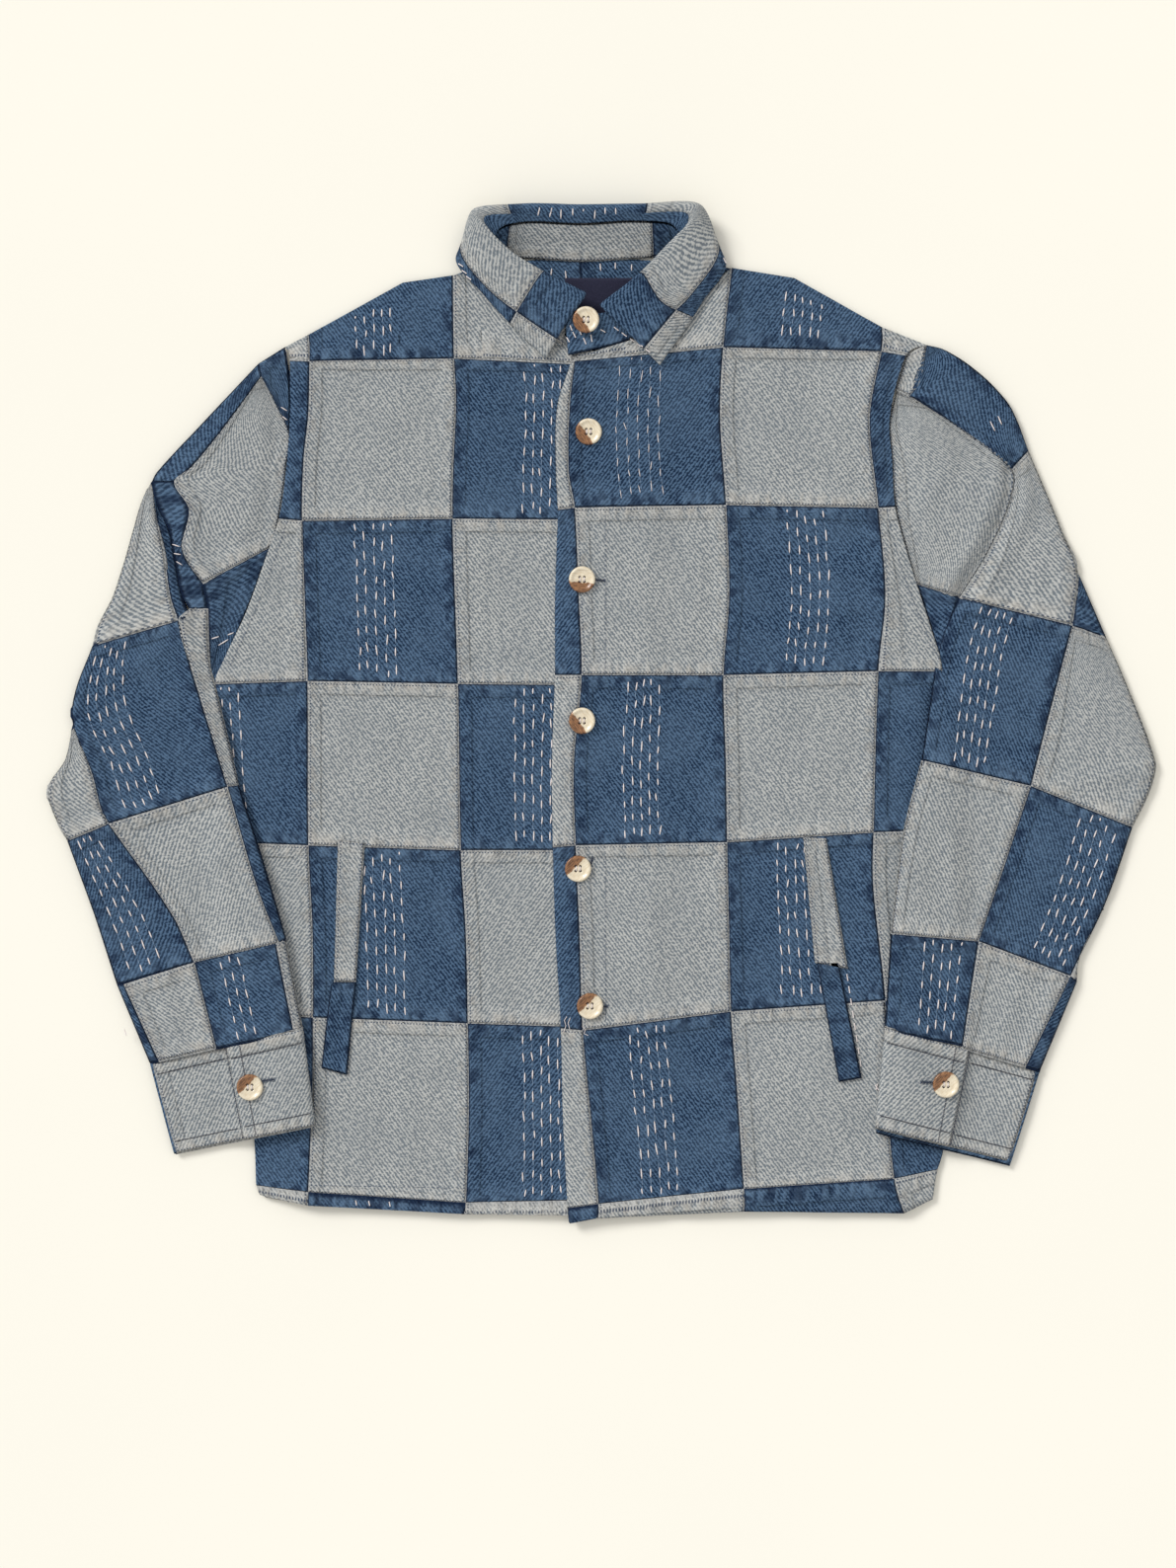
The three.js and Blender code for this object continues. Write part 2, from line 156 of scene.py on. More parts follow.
def newGroup(name, vectors, numbers, outputs):
    # a node group that takes the named vectors and numbers and gives the named numbers
    group = bpy.data.node_groups.new(name, "ShaderNodeTree")
    for label in vectors:
        group.interface.new_socket(label, in_out="INPUT", socket_type="NodeSocketVector")
    for label in numbers:
        group.interface.new_socket(label, in_out="INPUT", socket_type="NodeSocketFloat")
    for label in outputs:
        group.interface.new_socket(label, in_out="OUTPUT", socket_type="NodeSocketFloat")
    return group, group.nodes.new("NodeGroupInput"), group.nodes.new("NodeGroupOutput")


def feed(tree, target, source):
    if isinstance(source, bpy.types.NodeSocket):
        tree.links.new(source, target)
    elif source is not None:
        target.default_value = source


def calc(tree, operation, a, b=None, c=None, clamp=False):
    node = tree.nodes.new("ShaderNodeMath")
    node.operation = operation
    node.use_clamp = clamp
    for socket, source in zip(node.inputs, (a, b, c)):
        feed(tree, socket, source)
    return node.outputs[0]


def fadeMap(tree, value, low, high, atLow=0.0, atHigh=1.0):
    node = tree.nodes.new("ShaderNodeMapRange")
    node.interpolation_type = "SMOOTHSTEP"
    feed(tree, node.inputs["Value"], value)
    node.inputs["From Min"].default_value = low
    node.inputs["From Max"].default_value = high
    node.inputs["To Min"].default_value = atLow
    node.inputs["To Max"].default_value = atHigh
    return node.outputs[0]


def splitXyz(tree, vector):
    node = tree.nodes.new("ShaderNodeSeparateXYZ")
    feed(tree, node.inputs[0], vector)
    return node.outputs


def joinXyz(tree, x, y, z=0.0):
    node = tree.nodes.new("ShaderNodeCombineXYZ")
    for socket, source in zip(node.inputs, (x, y, z)):
        feed(tree, socket, source)
    return node.outputs[0]


def noiseOf(tree, vector, scale, detail=2.0, roughness=0.5):
    node = tree.nodes.new("ShaderNodeTexNoise")
    node.inputs["Scale"].default_value = scale
    node.inputs["Detail"].default_value = detail
    node.inputs["Roughness"].default_value = roughness
    feed(tree, node.inputs["Vector"], vector)
    return node.outputs["Fac"]


def stretched(tree, vector, turn, scale):
    node = tree.nodes.new("ShaderNodeMapping")
    feed(tree, node.inputs["Vector"], vector)
    node.inputs["Rotation"].default_value = (0, 0, turn)
    node.inputs["Scale"].default_value = scale
    return node.outputs[0]


def blendColour(tree, factor, a, b):
    node = tree.nodes.new("ShaderNodeMix")
    node.data_type = "RGBA"
    feed(tree, node.inputs["Factor"], factor)
    feed(tree, node.inputs[6], a)
    feed(tree, node.inputs[7], b)
    return node.outputs[2]


def makeTwillGroup():
    # diagonal twill ribs and the salt-and-pepper of the two yarns
    tree, inputs, outputs = newGroup(
        "twillWeave", ["Cloth"], ["Rib Pitch"], ["Yarn", "Cloudy", "Height"])
    cloth = inputs.outputs["Cloth"]
    x, y, _ = splitXyz(tree, cloth)
    along = calc(tree, "ADD", calc(tree, "MULTIPLY", x, 0.8), calc(tree, "MULTIPLY", y, 0.6))
    wobble = calc(tree, "MULTIPLY", noiseOf(tree, cloth, 300, 1), 0.0012)
    phase = calc(tree, "DIVIDE", calc(tree, "ADD", along, wobble), inputs.outputs["Rib Pitch"])
    ribs = calc(tree, "MULTIPLY_ADD", calc(tree, "SINE", calc(tree, "MULTIPLY", phase, math.tau)), 0.5, 0.5)
    flecks = noiseOf(tree, stretched(tree, cloth, -0.9, (250, 545, 1)), 1.0, 1.5, 0.6)
    specks = fadeMap(tree, flecks, 0.40, 0.60)
    fine = fadeMap(tree, noiseOf(tree, cloth, 640, 1), 0.38, 0.62)
    yarn = calc(tree, "ADD", calc(tree, "MULTIPLY", specks, 0.30), calc(tree, "MULTIPLY", ribs, 0.48))
    yarn = calc(tree, "ADD", yarn, calc(tree, "MULTIPLY", fine, 0.22))
    tree.links.new(fadeMap(tree, yarn, 0.28, 0.72), outputs.inputs["Yarn"])
    tree.links.new(noiseOf(tree, cloth, 28, 4, 0.6), outputs.inputs["Cloudy"])
    height = calc(tree, "ADD", calc(tree, "MULTIPLY", ribs, 0.6), calc(tree, "MULTIPLY", specks, 0.4))
    tree.links.new(height, outputs.inputs["Height"])
    return tree


def makeSeamGroup():
    # what a sewn edge does to denim: a painted shade line in the seam's groove, a ridge and a row of sunk
    # stitches beside it, and blotches where the allowance underneath has roped. Near and Far hold the
    # distances to the four edges, in metres like everything in this group
    tree, inputs, outputs = newGroup(
        "seamWear", ["Near", "Far", "Cloth"], ["Pitch", "Reach"],
        ["Line", "Ridge", "Dots", "Rope", "Streak", "Height"])
    nearX, nearY, _ = splitXyz(tree, inputs.outputs["Near"])
    farX, farY, _ = splitXyz(tree, inputs.outputs["Far"])
    cloth = inputs.outputs["Cloth"]
    clothX, clothY, _ = splitXyz(tree, cloth)
    sideways = calc(tree, "MINIMUM", nearX, farX)
    upDown = calc(tree, "MINIMUM", nearY, farY)
    jitter = calc(tree, "MULTIPLY", calc(tree, "SUBTRACT", noiseOf(tree, cloth, 380, 1), 0.5), 0.0012)
    nearest = calc(tree, "ADD", calc(tree, "MINIMUM", sideways, upDown), jitter)
    # a painted shade line where the cloth dips into the seam
    line = fadeMap(tree, nearest, 0.0003, 0.0012, 1, 0)
    twist = noiseOf(tree, stretched(tree, cloth, 0.7, (700, 250, 1)), 1.0, 1)
    ridge = calc(tree, "MULTIPLY", fadeMap(tree, nearest, 0.0014, 0.0022, 1, 0),
                 fadeMap(tree, twist, 0.3, 0.55))
    pitch, reach = inputs.outputs["Pitch"], inputs.outputs["Reach"]

    def sunkStitches(along, away):
        wave = calc(tree, "SINE", calc(tree, "MULTIPLY", along, math.tau / 0.0023))
        band = calc(tree, "MULTIPLY", fadeMap(tree, away, 0.0012, 0.0017),
                    fadeMap(tree, away, 0.0021, 0.0027, 1, 0))
        return calc(tree, "MULTIPLY", fadeMap(tree, wave, -0.5, 0.3), band)

    def blotches(along, away):
        place = joinXyz(tree, calc(tree, "DIVIDE", along, pitch), calc(tree, "DIVIDE", away, reach))
        spots = fadeMap(tree, noiseOf(tree, place, 1.25, 1.5, 0.55), 0.46, 0.62)
        inside = calc(tree, "SUBTRACT", 1.0, calc(tree, "DIVIDE", away, reach), clamp=True)
        return calc(tree, "MULTIPLY", spots, calc(tree, "POWER", inside, 0.7))

    dots = calc(tree, "MAXIMUM", sunkStitches(clothY, sideways), sunkStitches(clothX, upDown))
    rope = calc(tree, "MAXIMUM", blotches(clothY, sideways), blotches(clothX, upDown))
    place = joinXyz(tree, calc(tree, "MULTIPLY", clothX, 175.0), calc(tree, "MULTIPLY", clothY, 26.0))
    gathers = noiseOf(tree, place, 1.0, 1.0)
    streak = calc(tree, "MULTIPLY", fadeMap(tree, gathers, 0.42, 0.62),
                  fadeMap(tree, upDown, 0.002, 0.014, 1, 0))
    pucker = calc(tree, "MULTIPLY", gathers, fadeMap(tree, upDown, 0.001, 0.015, 1, 0))
    place = joinXyz(tree, calc(tree, "MULTIPLY", clothY, 120.0), calc(tree, "MULTIPLY", clothX, 26.0))
    sidePucker = calc(tree, "MULTIPLY", noiseOf(tree, place, 1.0, 1.0),
                      fadeMap(tree, sideways, 0.001, 0.012, 1, 0))
    step = fadeMap(tree, nearest, 0.009, 0.011, 0.5, 0)
    valley = fadeMap(tree, nearest, 0.0002, 0.0016, -1.2, 0)
    height = calc(tree, "ADD", calc(tree, "ADD", calc(tree, "MULTIPLY", pucker, 1.6), sidePucker),
                  calc(tree, "ADD", step, valley))
    for label, value in (("Line", line), ("Ridge", ridge), ("Dots", dots), ("Rope", rope),
                         ("Streak", streak), ("Height", height)):
        tree.links.new(value, outputs.inputs[label])
    return tree


twillWeave = makeTwillGroup()
seamWear = makeSeamGroup()


def uvOf(tree, name):
    node = tree.nodes.new("ShaderNodeUVMap")
    node.uv_map = name
    return node.outputs[0]


def placeGroup(tree, group, **values):
    node = tree.nodes.new("ShaderNodeGroup")
    node.node_tree = group
    for label, source in values.items():
        feed(tree, node.inputs[label.replace("_", " ")], source)
    return node.outputs


def startMaterial(name, roughness, sheen=0.0):
    material = bpy.data.materials.new(name)
    material.use_nodes = True
    tree = material.node_tree
    shader = tree.nodes["Principled BSDF"]
    shader.inputs["Roughness"].default_value = roughness
    shader.inputs["Specular IOR Level"].default_value = 0.2
    if sheen:
        shader.inputs["Sheen Weight"].default_value = sheen
        shader.inputs["Sheen Roughness"].default_value = 0.6
    return material, tree, shader


def bumpBy(tree, height, strength, distance, normal=None):
    node = tree.nodes.new("ShaderNodeBump")
    node.inputs["Strength"].default_value = strength
    node.inputs["Distance"].default_value = distance
    tree.links.new(height, node.inputs["Height"])
    if normal is not None:
        tree.links.new(normal, node.inputs["Normal"])
    return node.outputs[0]


# colours are linear; the rib's pitch, the blotches' pitch and how far they reach are in metres, and
# the other numbers say how strongly each sign of wear shows; line is the painted shade in each seam
blueLook = {"dark": (0.010, 0.024, 0.054, 1), "light": (0.082, 0.142, 0.230, 1),
            "worn": (0.115, 0.185, 0.280, 1), "navy": (0.005, 0.012, 0.035, 1),
            "ridge": (0.12, 0.18, 0.27, 1), "rib": 0.0024, "pitch": 0.0105, "reach": 0.0115,
            "cloudy": 0.26, "streak": 0.55, "rope": 0.85, "edge": 0.15, "dots": 0.0, "line": 0.9}
paleLook = {"dark": (0.165, 0.190, 0.212, 1), "light": (0.500, 0.505, 0.483, 1),
            "worn": (0.640, 0.610, 0.550, 1), "navy": (0.020, 0.040, 0.085, 1),
            "ridge": (0.60, 0.60, 0.57, 1), "soiled": (0.30, 0.26, 0.21, 1),
            "rib": 0.0024, "pitch": 0.009, "reach": 0.010,
            "cloudy": 0.22, "streak": 0.40, "rope": 0.34, "edge": 0.45, "dots": 0.85, "line": 0.15}


def makeDenim(name, look, cloudTone, ropeTone):
    material, tree, shader = startMaterial(name, 0.98)
    shader.inputs["Specular IOR Level"].default_value = 0.08
    cloth = uvOf(tree, "cloth")
    twill = placeGroup(tree, twillWeave, Cloth=cloth, Rib_Pitch=look["rib"])
    seam = placeGroup(tree, seamWear, Near=uvOf(tree, "near"), Far=uvOf(tree, "far"), Cloth=cloth,
                      Pitch=look["pitch"], Reach=look["reach"])
    colour = blendColour(tree, twill["Yarn"], look["dark"], look["light"])
    clouds = fadeMap(tree, twill["Cloudy"], 0.34, 0.72, 0.0, look["cloudy"])
    colour = blendColour(tree, clouds, colour, cloudTone)
    # the seam's line lays painted shade along every seam in the navy tone
    for label, amount, tone in (("Streak", "streak", look["worn"]), ("Rope", "rope", ropeTone),
                                ("Ridge", "edge", look["ridge"]), ("Dots", "dots", look["navy"]),
                                ("Line", "line", look["navy"])):
        colour = blendColour(tree, calc(tree, "MULTIPLY", seam[label], look[amount]), colour, tone)
    tree.links.new(colour, shader.inputs["Base Color"])
    normal = bumpBy(tree, twill["Height"], 0.6, 0.0007)
    tree.links.new(bumpBy(tree, seam["Height"], 1.0, 0.0015, normal), shader.inputs["Normal"])
    return material


def makePlain(name, base, second, roughness, scale, sheen=0.0):
    # a plain fibre or thread: two tones of one colour and a fine grain
    material, tree, shader = startMaterial(name, roughness, sheen)
    grain = noiseOf(tree, tree.nodes.new("ShaderNodeTexCoord").outputs["Object"], scale, 3, 0.6)
    colour = blendColour(tree, fadeMap(tree, grain, 0.3, 0.7), base, second)
    tree.links.new(colour, shader.inputs["Base Color"])
    tree.links.new(bumpBy(tree, grain, 0.4, 0.0003), shader.inputs["Normal"])
    return material


# hole is painted shade: the holes are only shallow dimples, so their shade is painted in dark
hornLook = {"ivory": (0.68, 0.56, 0.38, 1), "cream": (0.84, 0.75, 0.58, 1),
            "brown": (0.13, 0.055, 0.022, 1), "tan": (0.36, 0.17, 0.07, 1),
            "hole": (0.02, 0.012, 0.01, 1)}
# in millimetres; spacing is how far each hole is from the middle along x and along y
button = {"radius": 10.0, "thickness": 3.2, "hole": 1.15, "spacing": 1.7, "thread": 0.55, "tilt": 3}


def makeHorn():
    look = hornLook
    material, tree, shader = startMaterial("hornButton", 0.3)
    shader.inputs["Specular IOR Level"].default_value = 0.5
    shader.inputs["Coat Weight"].default_value = 0.2
    place = uvOf(tree, "button")
    x, _, _ = splitXyz(tree, place)
    drift = calc(tree, "MULTIPLY", calc(tree, "SUBTRACT", noiseOf(tree, place, 0.22, 2, 0.5), 0.5), 5.0)
    brown = fadeMap(tree, calc(tree, "ADD", x, drift), 1.6, 2.6)
    veins = noiseOf(tree, stretched(tree, place, 0.5, (0.9, 0.22, 1)), 1.0, 4, 0.65)
    colour = blendColour(tree, fadeMap(tree, veins, 0.35, 0.7), look["cream"], look["ivory"])
    darker = blendColour(tree, fadeMap(tree, veins, 0.38, 0.62), look["brown"], look["tan"])
    colour = blendColour(tree, brown, colour, darker)
    faceX, faceY, _ = splitXyz(tree, uvOf(tree, "face"))
    across = calc(tree, "SUBTRACT", calc(tree, "ABSOLUTE", faceX), button["spacing"])
    upward = calc(tree, "SUBTRACT", calc(tree, "ABSOLUTE", faceY), button["spacing"])
    square = calc(tree, "MULTIPLY_ADD", across, across, calc(tree, "MULTIPLY", upward, upward))
    gap = calc(tree, "SQRT", square)
    # the holes are painted dark as the shade inside them
    hole = fadeMap(tree, gap, button["hole"] - 0.35, button["hole"], 1, 0)
    tree.links.new(blendColour(tree, hole, colour, look["hole"]), shader.inputs["Base Color"])
    return material


blueDenim = makeDenim("blueDenim", blueLook, blueLook["worn"], blueLook["navy"])
paleDenim = makeDenim("paleDenim", paleLook, paleLook["dark"], paleLook["soiled"])
# plain materials: the two tones, the roughness, how fine the grain is and the sheen
plainLooks = {
    "stitchThread": ((0.90, 0.83, 0.80, 1), (0.70, 0.61, 0.58, 1), 0.85, 900, 0.2),
    "faintThread": ((0.16, 0.24, 0.36, 1), (0.30, 0.40, 0.52, 1), 0.9, 500),
    "blueThread": ((0.03, 0.05, 0.10, 1), (0.10, 0.14, 0.22, 1), 0.85, 700),
    "navyCloth": ((0.012, 0.013, 0.032, 1), (0.024, 0.024, 0.052, 1), 0.9, 1400, 0.1),
}
stitchThread, faintThread, blueThread, navyCloth = (
    makePlain(name, *look) for name, look in plainLooks.items())
hornButton = makeHorn()
denims = [blueDenim, paleDenim]
blue, pale = 0, 1
print("materials made")


allowance = {"height": 0.5, "width": 10.0, "fade": 3.0}  # the doubled cloth beside every seam, in mm
farAway = 60.0  # the distance given to an edge that isn't sewn, beyond the reach of a seam's wear


class Cloth:
    # one piece of cloth: patches are laid into it one by one and keep their distances to their seams
    def __init__(self, name, spacing=2.6):
        self.name = name
        self.spacing = spacing
        self.bm = bmesh.new()
        self.layers = [self.bm.loops.layers.uv.new(label) for label in ("cloth", "near", "far")]

    def patch(self, place, shade, size, seams=(1, 1, 1, 1), counts=None, down=False, lift=True, key=None,
              tuck=None):
        # place(u, v) gives a point in millimetres; size is how wide and long the patch is there. seams
        # says which of the left, right, low and high edges are sewn. Patches with a key keep one
        # unbroken weave. A tuck (width, drop, edge test) runs the patch on below its neighbours
        across, along = size
        nu, nv = counts or (max(2, round(across / self.spacing)), max(2, round(along / self.spacing)))
        extra = 2 if tuck else 0
        made = bmesh.ops.create_grid(self.bm, x_segments=nu + extra, y_segments=nv + extra,
                                     size=0.5)["verts"]
        tuckWidth, tuckDrop, atEdge = tuck or (0.0, 0.0, None)

        def withTuck(t, count, length):
            # the first and last rows of points lie outside the patch by the tuck's width
            k = round(t * (count + 2))
            if k == 0:
                return -tuckWidth / length
            if k == count + 2:
                return 1 + tuckWidth / length
            return (k - 1) / count

        spots = {}
        for vert in made:
            u, v = vert.co.x + 0.5, vert.co.y + 0.5
            if tuck:
                u, v = withTuck(u, nu, across), withTuck(v, nv, along)
            spots[vert] = (u, v)
        chance = random.Random(str(key)) if key else dice
        shift = Vector((chance.uniform(0, 9), chance.uniform(0, 9)))
        flip = -1 if chance.random() < 0.2 else 1
        left, right, low, high = seams

        def gaps(u, v):
            return ((u * across if left else farAway, v * along if low else farAway),
                    ((1 - u) * across if right else farAway, (1 - v) * along if high else farAway))

        for vert, (u, v) in spots.items():
            insideU, insideV = min(1.0, max(0.0, u)), min(1.0, max(0.0, v))
            point = Vector(place(insideU, insideV))
            if (insideU, insideV) != (u, v) and not atEdge(point.x, point.y):
                toward = Vector(place(mix(insideU, 0.5, 0.04), mix(insideV, 0.5, 0.04)))
                step = Vector((point.x - toward.x, point.y - toward.y, 0)).normalized() * tuckWidth
                point += step
                point.z -= tuckDrop
            near, far = gaps(u, v)
            if lift:
                beyond = min(*near, *far) - allowance["width"]
                point.z += allowance["height"] * (1 - ease(beyond / allowance["fade"]))
            vert.co = point * mm
        cloth, nearLayer, farLayer = self.layers
        for face in {face for vert in made for face in vert.link_faces}:
            face.material_index = shade
            face.normal_update()
            if (face.normal.z < 0) != down:
                face.normal_flip()
            for loop in face.loops:
                u, v = spots[loop.vert]
                near, far = gaps(u, v)
                flat = loop.vert.co.xy if key else Vector((u * across, v * along)) * mm
                loop[cloth].uv = Vector((flat[0] * flip, flat[1])) + shift
                loop[nearLayer].uv = Vector(near) * mm
                loop[farLayer].uv = Vector(far) * mm

    def finish(self, thickness=1.4, offset=-1.0, weld=0.2):
        bmesh.ops.remove_doubles(self.bm, verts=self.bm.verts, dist=weld * mm)
        bmesh.ops.dissolve_degenerate(self.bm, edges=self.bm.edges, dist=0.01 * mm)
        piece = newObject(self.name, self.bm, denims)
        if thickness:
            thicken(piece, thickness, offset)
        return piece


def betweenRails(left, right, low, high, height):
    # a patch ruled between two seams, raised to the height of the cloth there
    def place(u, v):
        t = mix(low, high, v)
        x, y = mixPoint(left(t)[:2], right(t)[:2], u)
        return x, y, height(x, y)
    middle = 0.5 * (low + high)
    across = math.dist(left(middle)[:2], right(middle)[:2])
    ends = [mixPoint(left(t)[:2], right(t)[:2], 0.5) for t in (low, high)]
    return place, (max(across, 1.0), max(math.dist(*ends), 1.0))


# in millimetres: the running stitches, the cloth pulled up between them and the machine's stitches
stitchLook = {"length": 7.2, "gap": 6.6, "width": 1.15, "rise": 0.35, "sides": 6, "rings": 5}
pullLook = {"length": 5.2, "room": 5.0, "gap": 2.0, "width": 0.5, "rise": 0.07}
machineLook = {"length": 2.6, "gap": 1.1, "width": 0.45, "rise": 0.12}


def layStitch(laid, a, b, width, rise):
    # one visible stitch, its ends sunk in the cloth; it's only noted here and made in newStitches
    a, b = Vector(a), Vector(b)
    direction = b - a
    if direction.length < 0.5:
        return
    turn = direction.to_track_quat("Z", "Y").to_matrix().to_4x4()
    size = Matrix.Diagonal((width * 0.5, width * 0.42, direction.length * 0.5, 1))
    middle = Matrix.Translation((a + b) * 0.5 + Vector((0, 0, rise)))
    laid.append(Matrix.Scale(mm, 4) @ middle @ turn @ size)


def newStitches(name, laid, material):
    bm = bmesh.new()
    bmesh.ops.create_uvsphere(bm, u_segments=stitchLook["sides"], v_segments=stitchLook["rings"], radius=1.0)
    corners = [vert.co.copy() for vert in bm.verts]
    sides = [[vert.index for vert in face.verts] for face in bm.faces]
    bm.free()
    mesh = bpy.data.meshes.new(name)
    mesh.from_pydata([matrix @ corner for matrix in laid for corner in corners], [],
                     [[k * len(corners) + i for i in side] for k in range(len(laid)) for side in sides])
    mesh.materials.append(material)
    for polygon in mesh.polygons:
        polygon.use_smooth = True
    piece = bpy.data.objects.new(name, mesh)
    bpy.context.collection.objects.link(piece)
    return piece


def runningStitches(laid, place, along, rows, span=(0.03, 0.97), thin=1.0, lift=0.0, pulled=None):
    # rows holds (u at the bottom, u at the top) for each line of stitches; pulled takes the faint
    # lines that the thread draws up in the cloth
    look, pull = stitchLook, pullLook
    for low, high in rows:
        if pulled is not None:
            v = span[0]
            while v < span[1] - pull["room"] / along:
                end = v + pull["length"] / along
                layStitch(pulled, place(mix(low, high, v), v), place(mix(low, high, end), end),
                          pull["width"], pull["rise"] + lift)
                v = end + dice.uniform(0, pull["gap"]) / along
        v = span[0] + dice.uniform(0, look["gap"]) / along
        while v < span[1]:
            end = min(span[1] + 0.01, v + look["length"] * dice.uniform(0.75, 1.2) / along)
            drift = dice.gauss(0, 0.004)
            start = mix(low, high, v) + drift
            stop = mix(low, high, end) + drift + dice.gauss(0, 0.005)
            layStitch(laid, place(start, v), place(stop, end), look["width"] * thin,
                      look["rise"] + lift)
            v = end + look["gap"] * dice.uniform(0.8, 1.25) / along


def rowsAt(low, high, across, count=5, spacing=6.7):
    # evenly spaced rows whose middle one runs from low to high
    steps = [(k - (count - 1) / 2) * spacing / across for k in range(count)]
    return [(low + step, high + step) for step in steps]


def dashedLine(laid, points, height):
    # machine topstitching along a line
    look = machineLook
    rail = railThrough(points)
    total = sum(math.dist(a, b) for a, b in zip(points, points[1:]))
    run = 0.0
    while run + look["length"] < total:
        a, b = rail(run / total), rail((run + look["length"]) / total)
        layStitch(laid, (*a, height(*a)), (*b, height(*b)), look["width"], look["rise"])
        run += look["length"] + look["gap"]


def layThreads(name, lines, width, material):
    # loose ends and wrapped threads, each a list of points
    curve = bpy.data.curves.new(name, "CURVE")
    curve.dimensions = "3D"
    curve.bevel_depth = width * 0.5 * mm
    curve.bevel_resolution = 1
    for points in lines:
        spline = curve.splines.new("POLY")
        spline.points.add(len(points) - 1)
        for knot, point in zip(spline.points, points):
            knot.co = (point[0] * mm, point[1] * mm, point[2] * mm, 1)
    curve.materials.append(material)
    piece = bpy.data.objects.new(name, curve)
    bpy.context.collection.objects.link(piece)
    return piece


# in millimetres: the back's thickness, how high the fronts' outer face lies over it at the sides, how
# much higher in the middle and how soon, what the button lap adds, the hem's doubled strip and how
# deep a crease may go
body = {"wall": 1.4, "low": 1.7, "loft": 2.5, "ramp": 25, "lapRise": 1.7, "lapWidth": 30,
        "lapTop": 262, "lapRound": 2.4, "hemLine": -354, "hemRise": 0.9, "hemWidth": 8,
        "valley": 1.2}
bodyRipples = [(2.0, 0.013, 0.009, 3.1), (0.9, 0.04, 0.022, 7.7)]

# the seams that run up the body as (row, x, y): 0 is the hem's edge, 1 the hem's seam, 7 the top
sideRight = [(0, -254.6, -366.4), (1, -262.1, -357.4), (1.3, -263.6, -324.4), (2, -272.6, -226.9),
             (3, -283.1, -97.1), (4, -293.6, 22.9), (4.16, -286.1, 42.4), (4.44, -269.6, 77.6),
             (4.77, -254.6, 118.9), (5, -244.9, 148.1), (5.35, -238.9, 190.1), (5.6, -236.6, 223.9),
             (6, -236.6, 268.1), (7, -240.4, 278.6)]
seamAB = [(0, -222.4, -371.6), (1, -222.4, -361.9), (1.6, -219.4, -283.1), (2, -219, -229.9),
          (2.5, -219.4, -166.1), (3, -222.4, -99.4), (4, -223.1, 25.1), (5, -227.2, 146.6),
          (5.37, -226.1, 191.6), (5.67, -222.4, 227.6), (6, -221.6, 267.4), (7, -222.4, 288)]
seamBC = [(0, -104.6, -376.9), (1, -103.1, -370.1), (1.5, -100.9, -303.4), (2, -101.6, -234.4),
          (2.5, -103.1, -166.1), (3, -106.9, -103.1), (4, -109.1, 22.9), (5, -113.2, 148.1),
          (5.3, -112.9, 182.6), (5.75, -110.6, 237.4), (6, -112.1, 269.6), (7, -112.9, 333)]
underlap = [(0, 1.9, -376.9), (1, 1.9, -367.9), (2, -2.6, -237.4), (3, -8.6, -103.1), (4, -7.1, 22.1),
            (5, -5.6, 147.4), (6, -3.4, 264.4), (7, -7.1, 271.1)]
lapEdge = [(0, -24.4, -385.9), (1, -25.9, -373.9), (1.5, -29.6, -303.4), (2, -31.1, -238.1),
           (2.5, -35.2, -166.1), (3, -37.1, -100.9), (3.5, -37.9, -38.6), (4, -35.6, 29.6),
           (4.4, -35.6, 81.4), (4.83, -34.1, 133.1), (5, -33.4, 154.9), (5.25, -34.9, 182.6),
           (5.7, -33.8, 233.6), (6, -23.5, 266), (7, -22.5, 270.5)]
seamPD = [(0, -4.9, -382.1), (1, -2.6, -370.9), (1.5, -8.6, -303.4), (2, -14.6, -239.6),
          (2.5, -16.9, -166.1), (3, -19.9, -99.4), (3.5, -21.4, -38.6), (4, -15.4, 29.6),
          (4.5, -17.6, 90.4), (5, -20.6, 156.4), (5.2, -25.1, 182.6), (5.7, -24.4, 233.6),
          (6, -20.6, 267.4), (7, -18.5, 271.5)]
seamDE = [(0, 107.6, -376.9), (1, 107.6, -359.6), (1.58, 102.4, -283.1), (2, 97.9, -225.4),
          (2.45, 96.4, -166.1), (3, 94.9, -97.1), (3.5, 94.1, -38.6), (4, 92.2, 29.6),
          (4.5, 96.4, 90.4), (5, 94.1, 158.6), (5.6, 89.6, 227.6), (6, 91.9, 277.9), (7, 98.6, 338.6)]
seamEF = [(0, 229.1, -378.4), (1, 221.6, -352.1), (1.25, 217.9, -316.1), (2, 214.9, -217.1),
          (2.6, 205.9, -132.4), (3, 205.9, -89.6), (4, 209.6, 32.6), (4.5, 214.9, 90.4),
          (5, 209.6, 156.4), (5.57, 202.9, 224.6), (6, 211.9, 274.9), (7, 212.6, 293.6)]
sideLeft = [(0, 250.9, -367.9), (1, 254.6, -345.4), (1.15, 259.1, -328.9), (2, 260.6, -214.9),
            (3, 260.6, -87.4), (4, 258.4, 32.6), (4.3, 248.6, 68.6), (4.53, 238.9, 98.6),
            (4.74, 230.6, 125.6), (5, 222.4, 157.1), (5.3, 220.1, 194.6), (5.5, 217.9, 218.6),
            (5.76, 222.4, 247.1), (6, 230.6, 271.9), (7, 246.4, 280.1)]
shoulders = {"right": [(-240.4, 278.6), (-222.4, 288), (-197, 306), (-151, 327), (-112.9, 334),
                       (-94, 336)],
             "left": [(246.4, 280.1), (212.6, 293.6), (178, 311), (143, 331), (120, 339),
                      (98.6, 339)]}
underarms = {"right": (-293.6, 22.9), "left": (258.4, 32.6)}
sideAt = {"right": throughPoints([(y, x) for _, x, y in sideRight[:6]]),
          "left": throughPoints([(y, x) for _, x, y in sideLeft[:6]])}
lapEdgeAt = throughPoints([(y, x) for _, x, y in lapEdge])

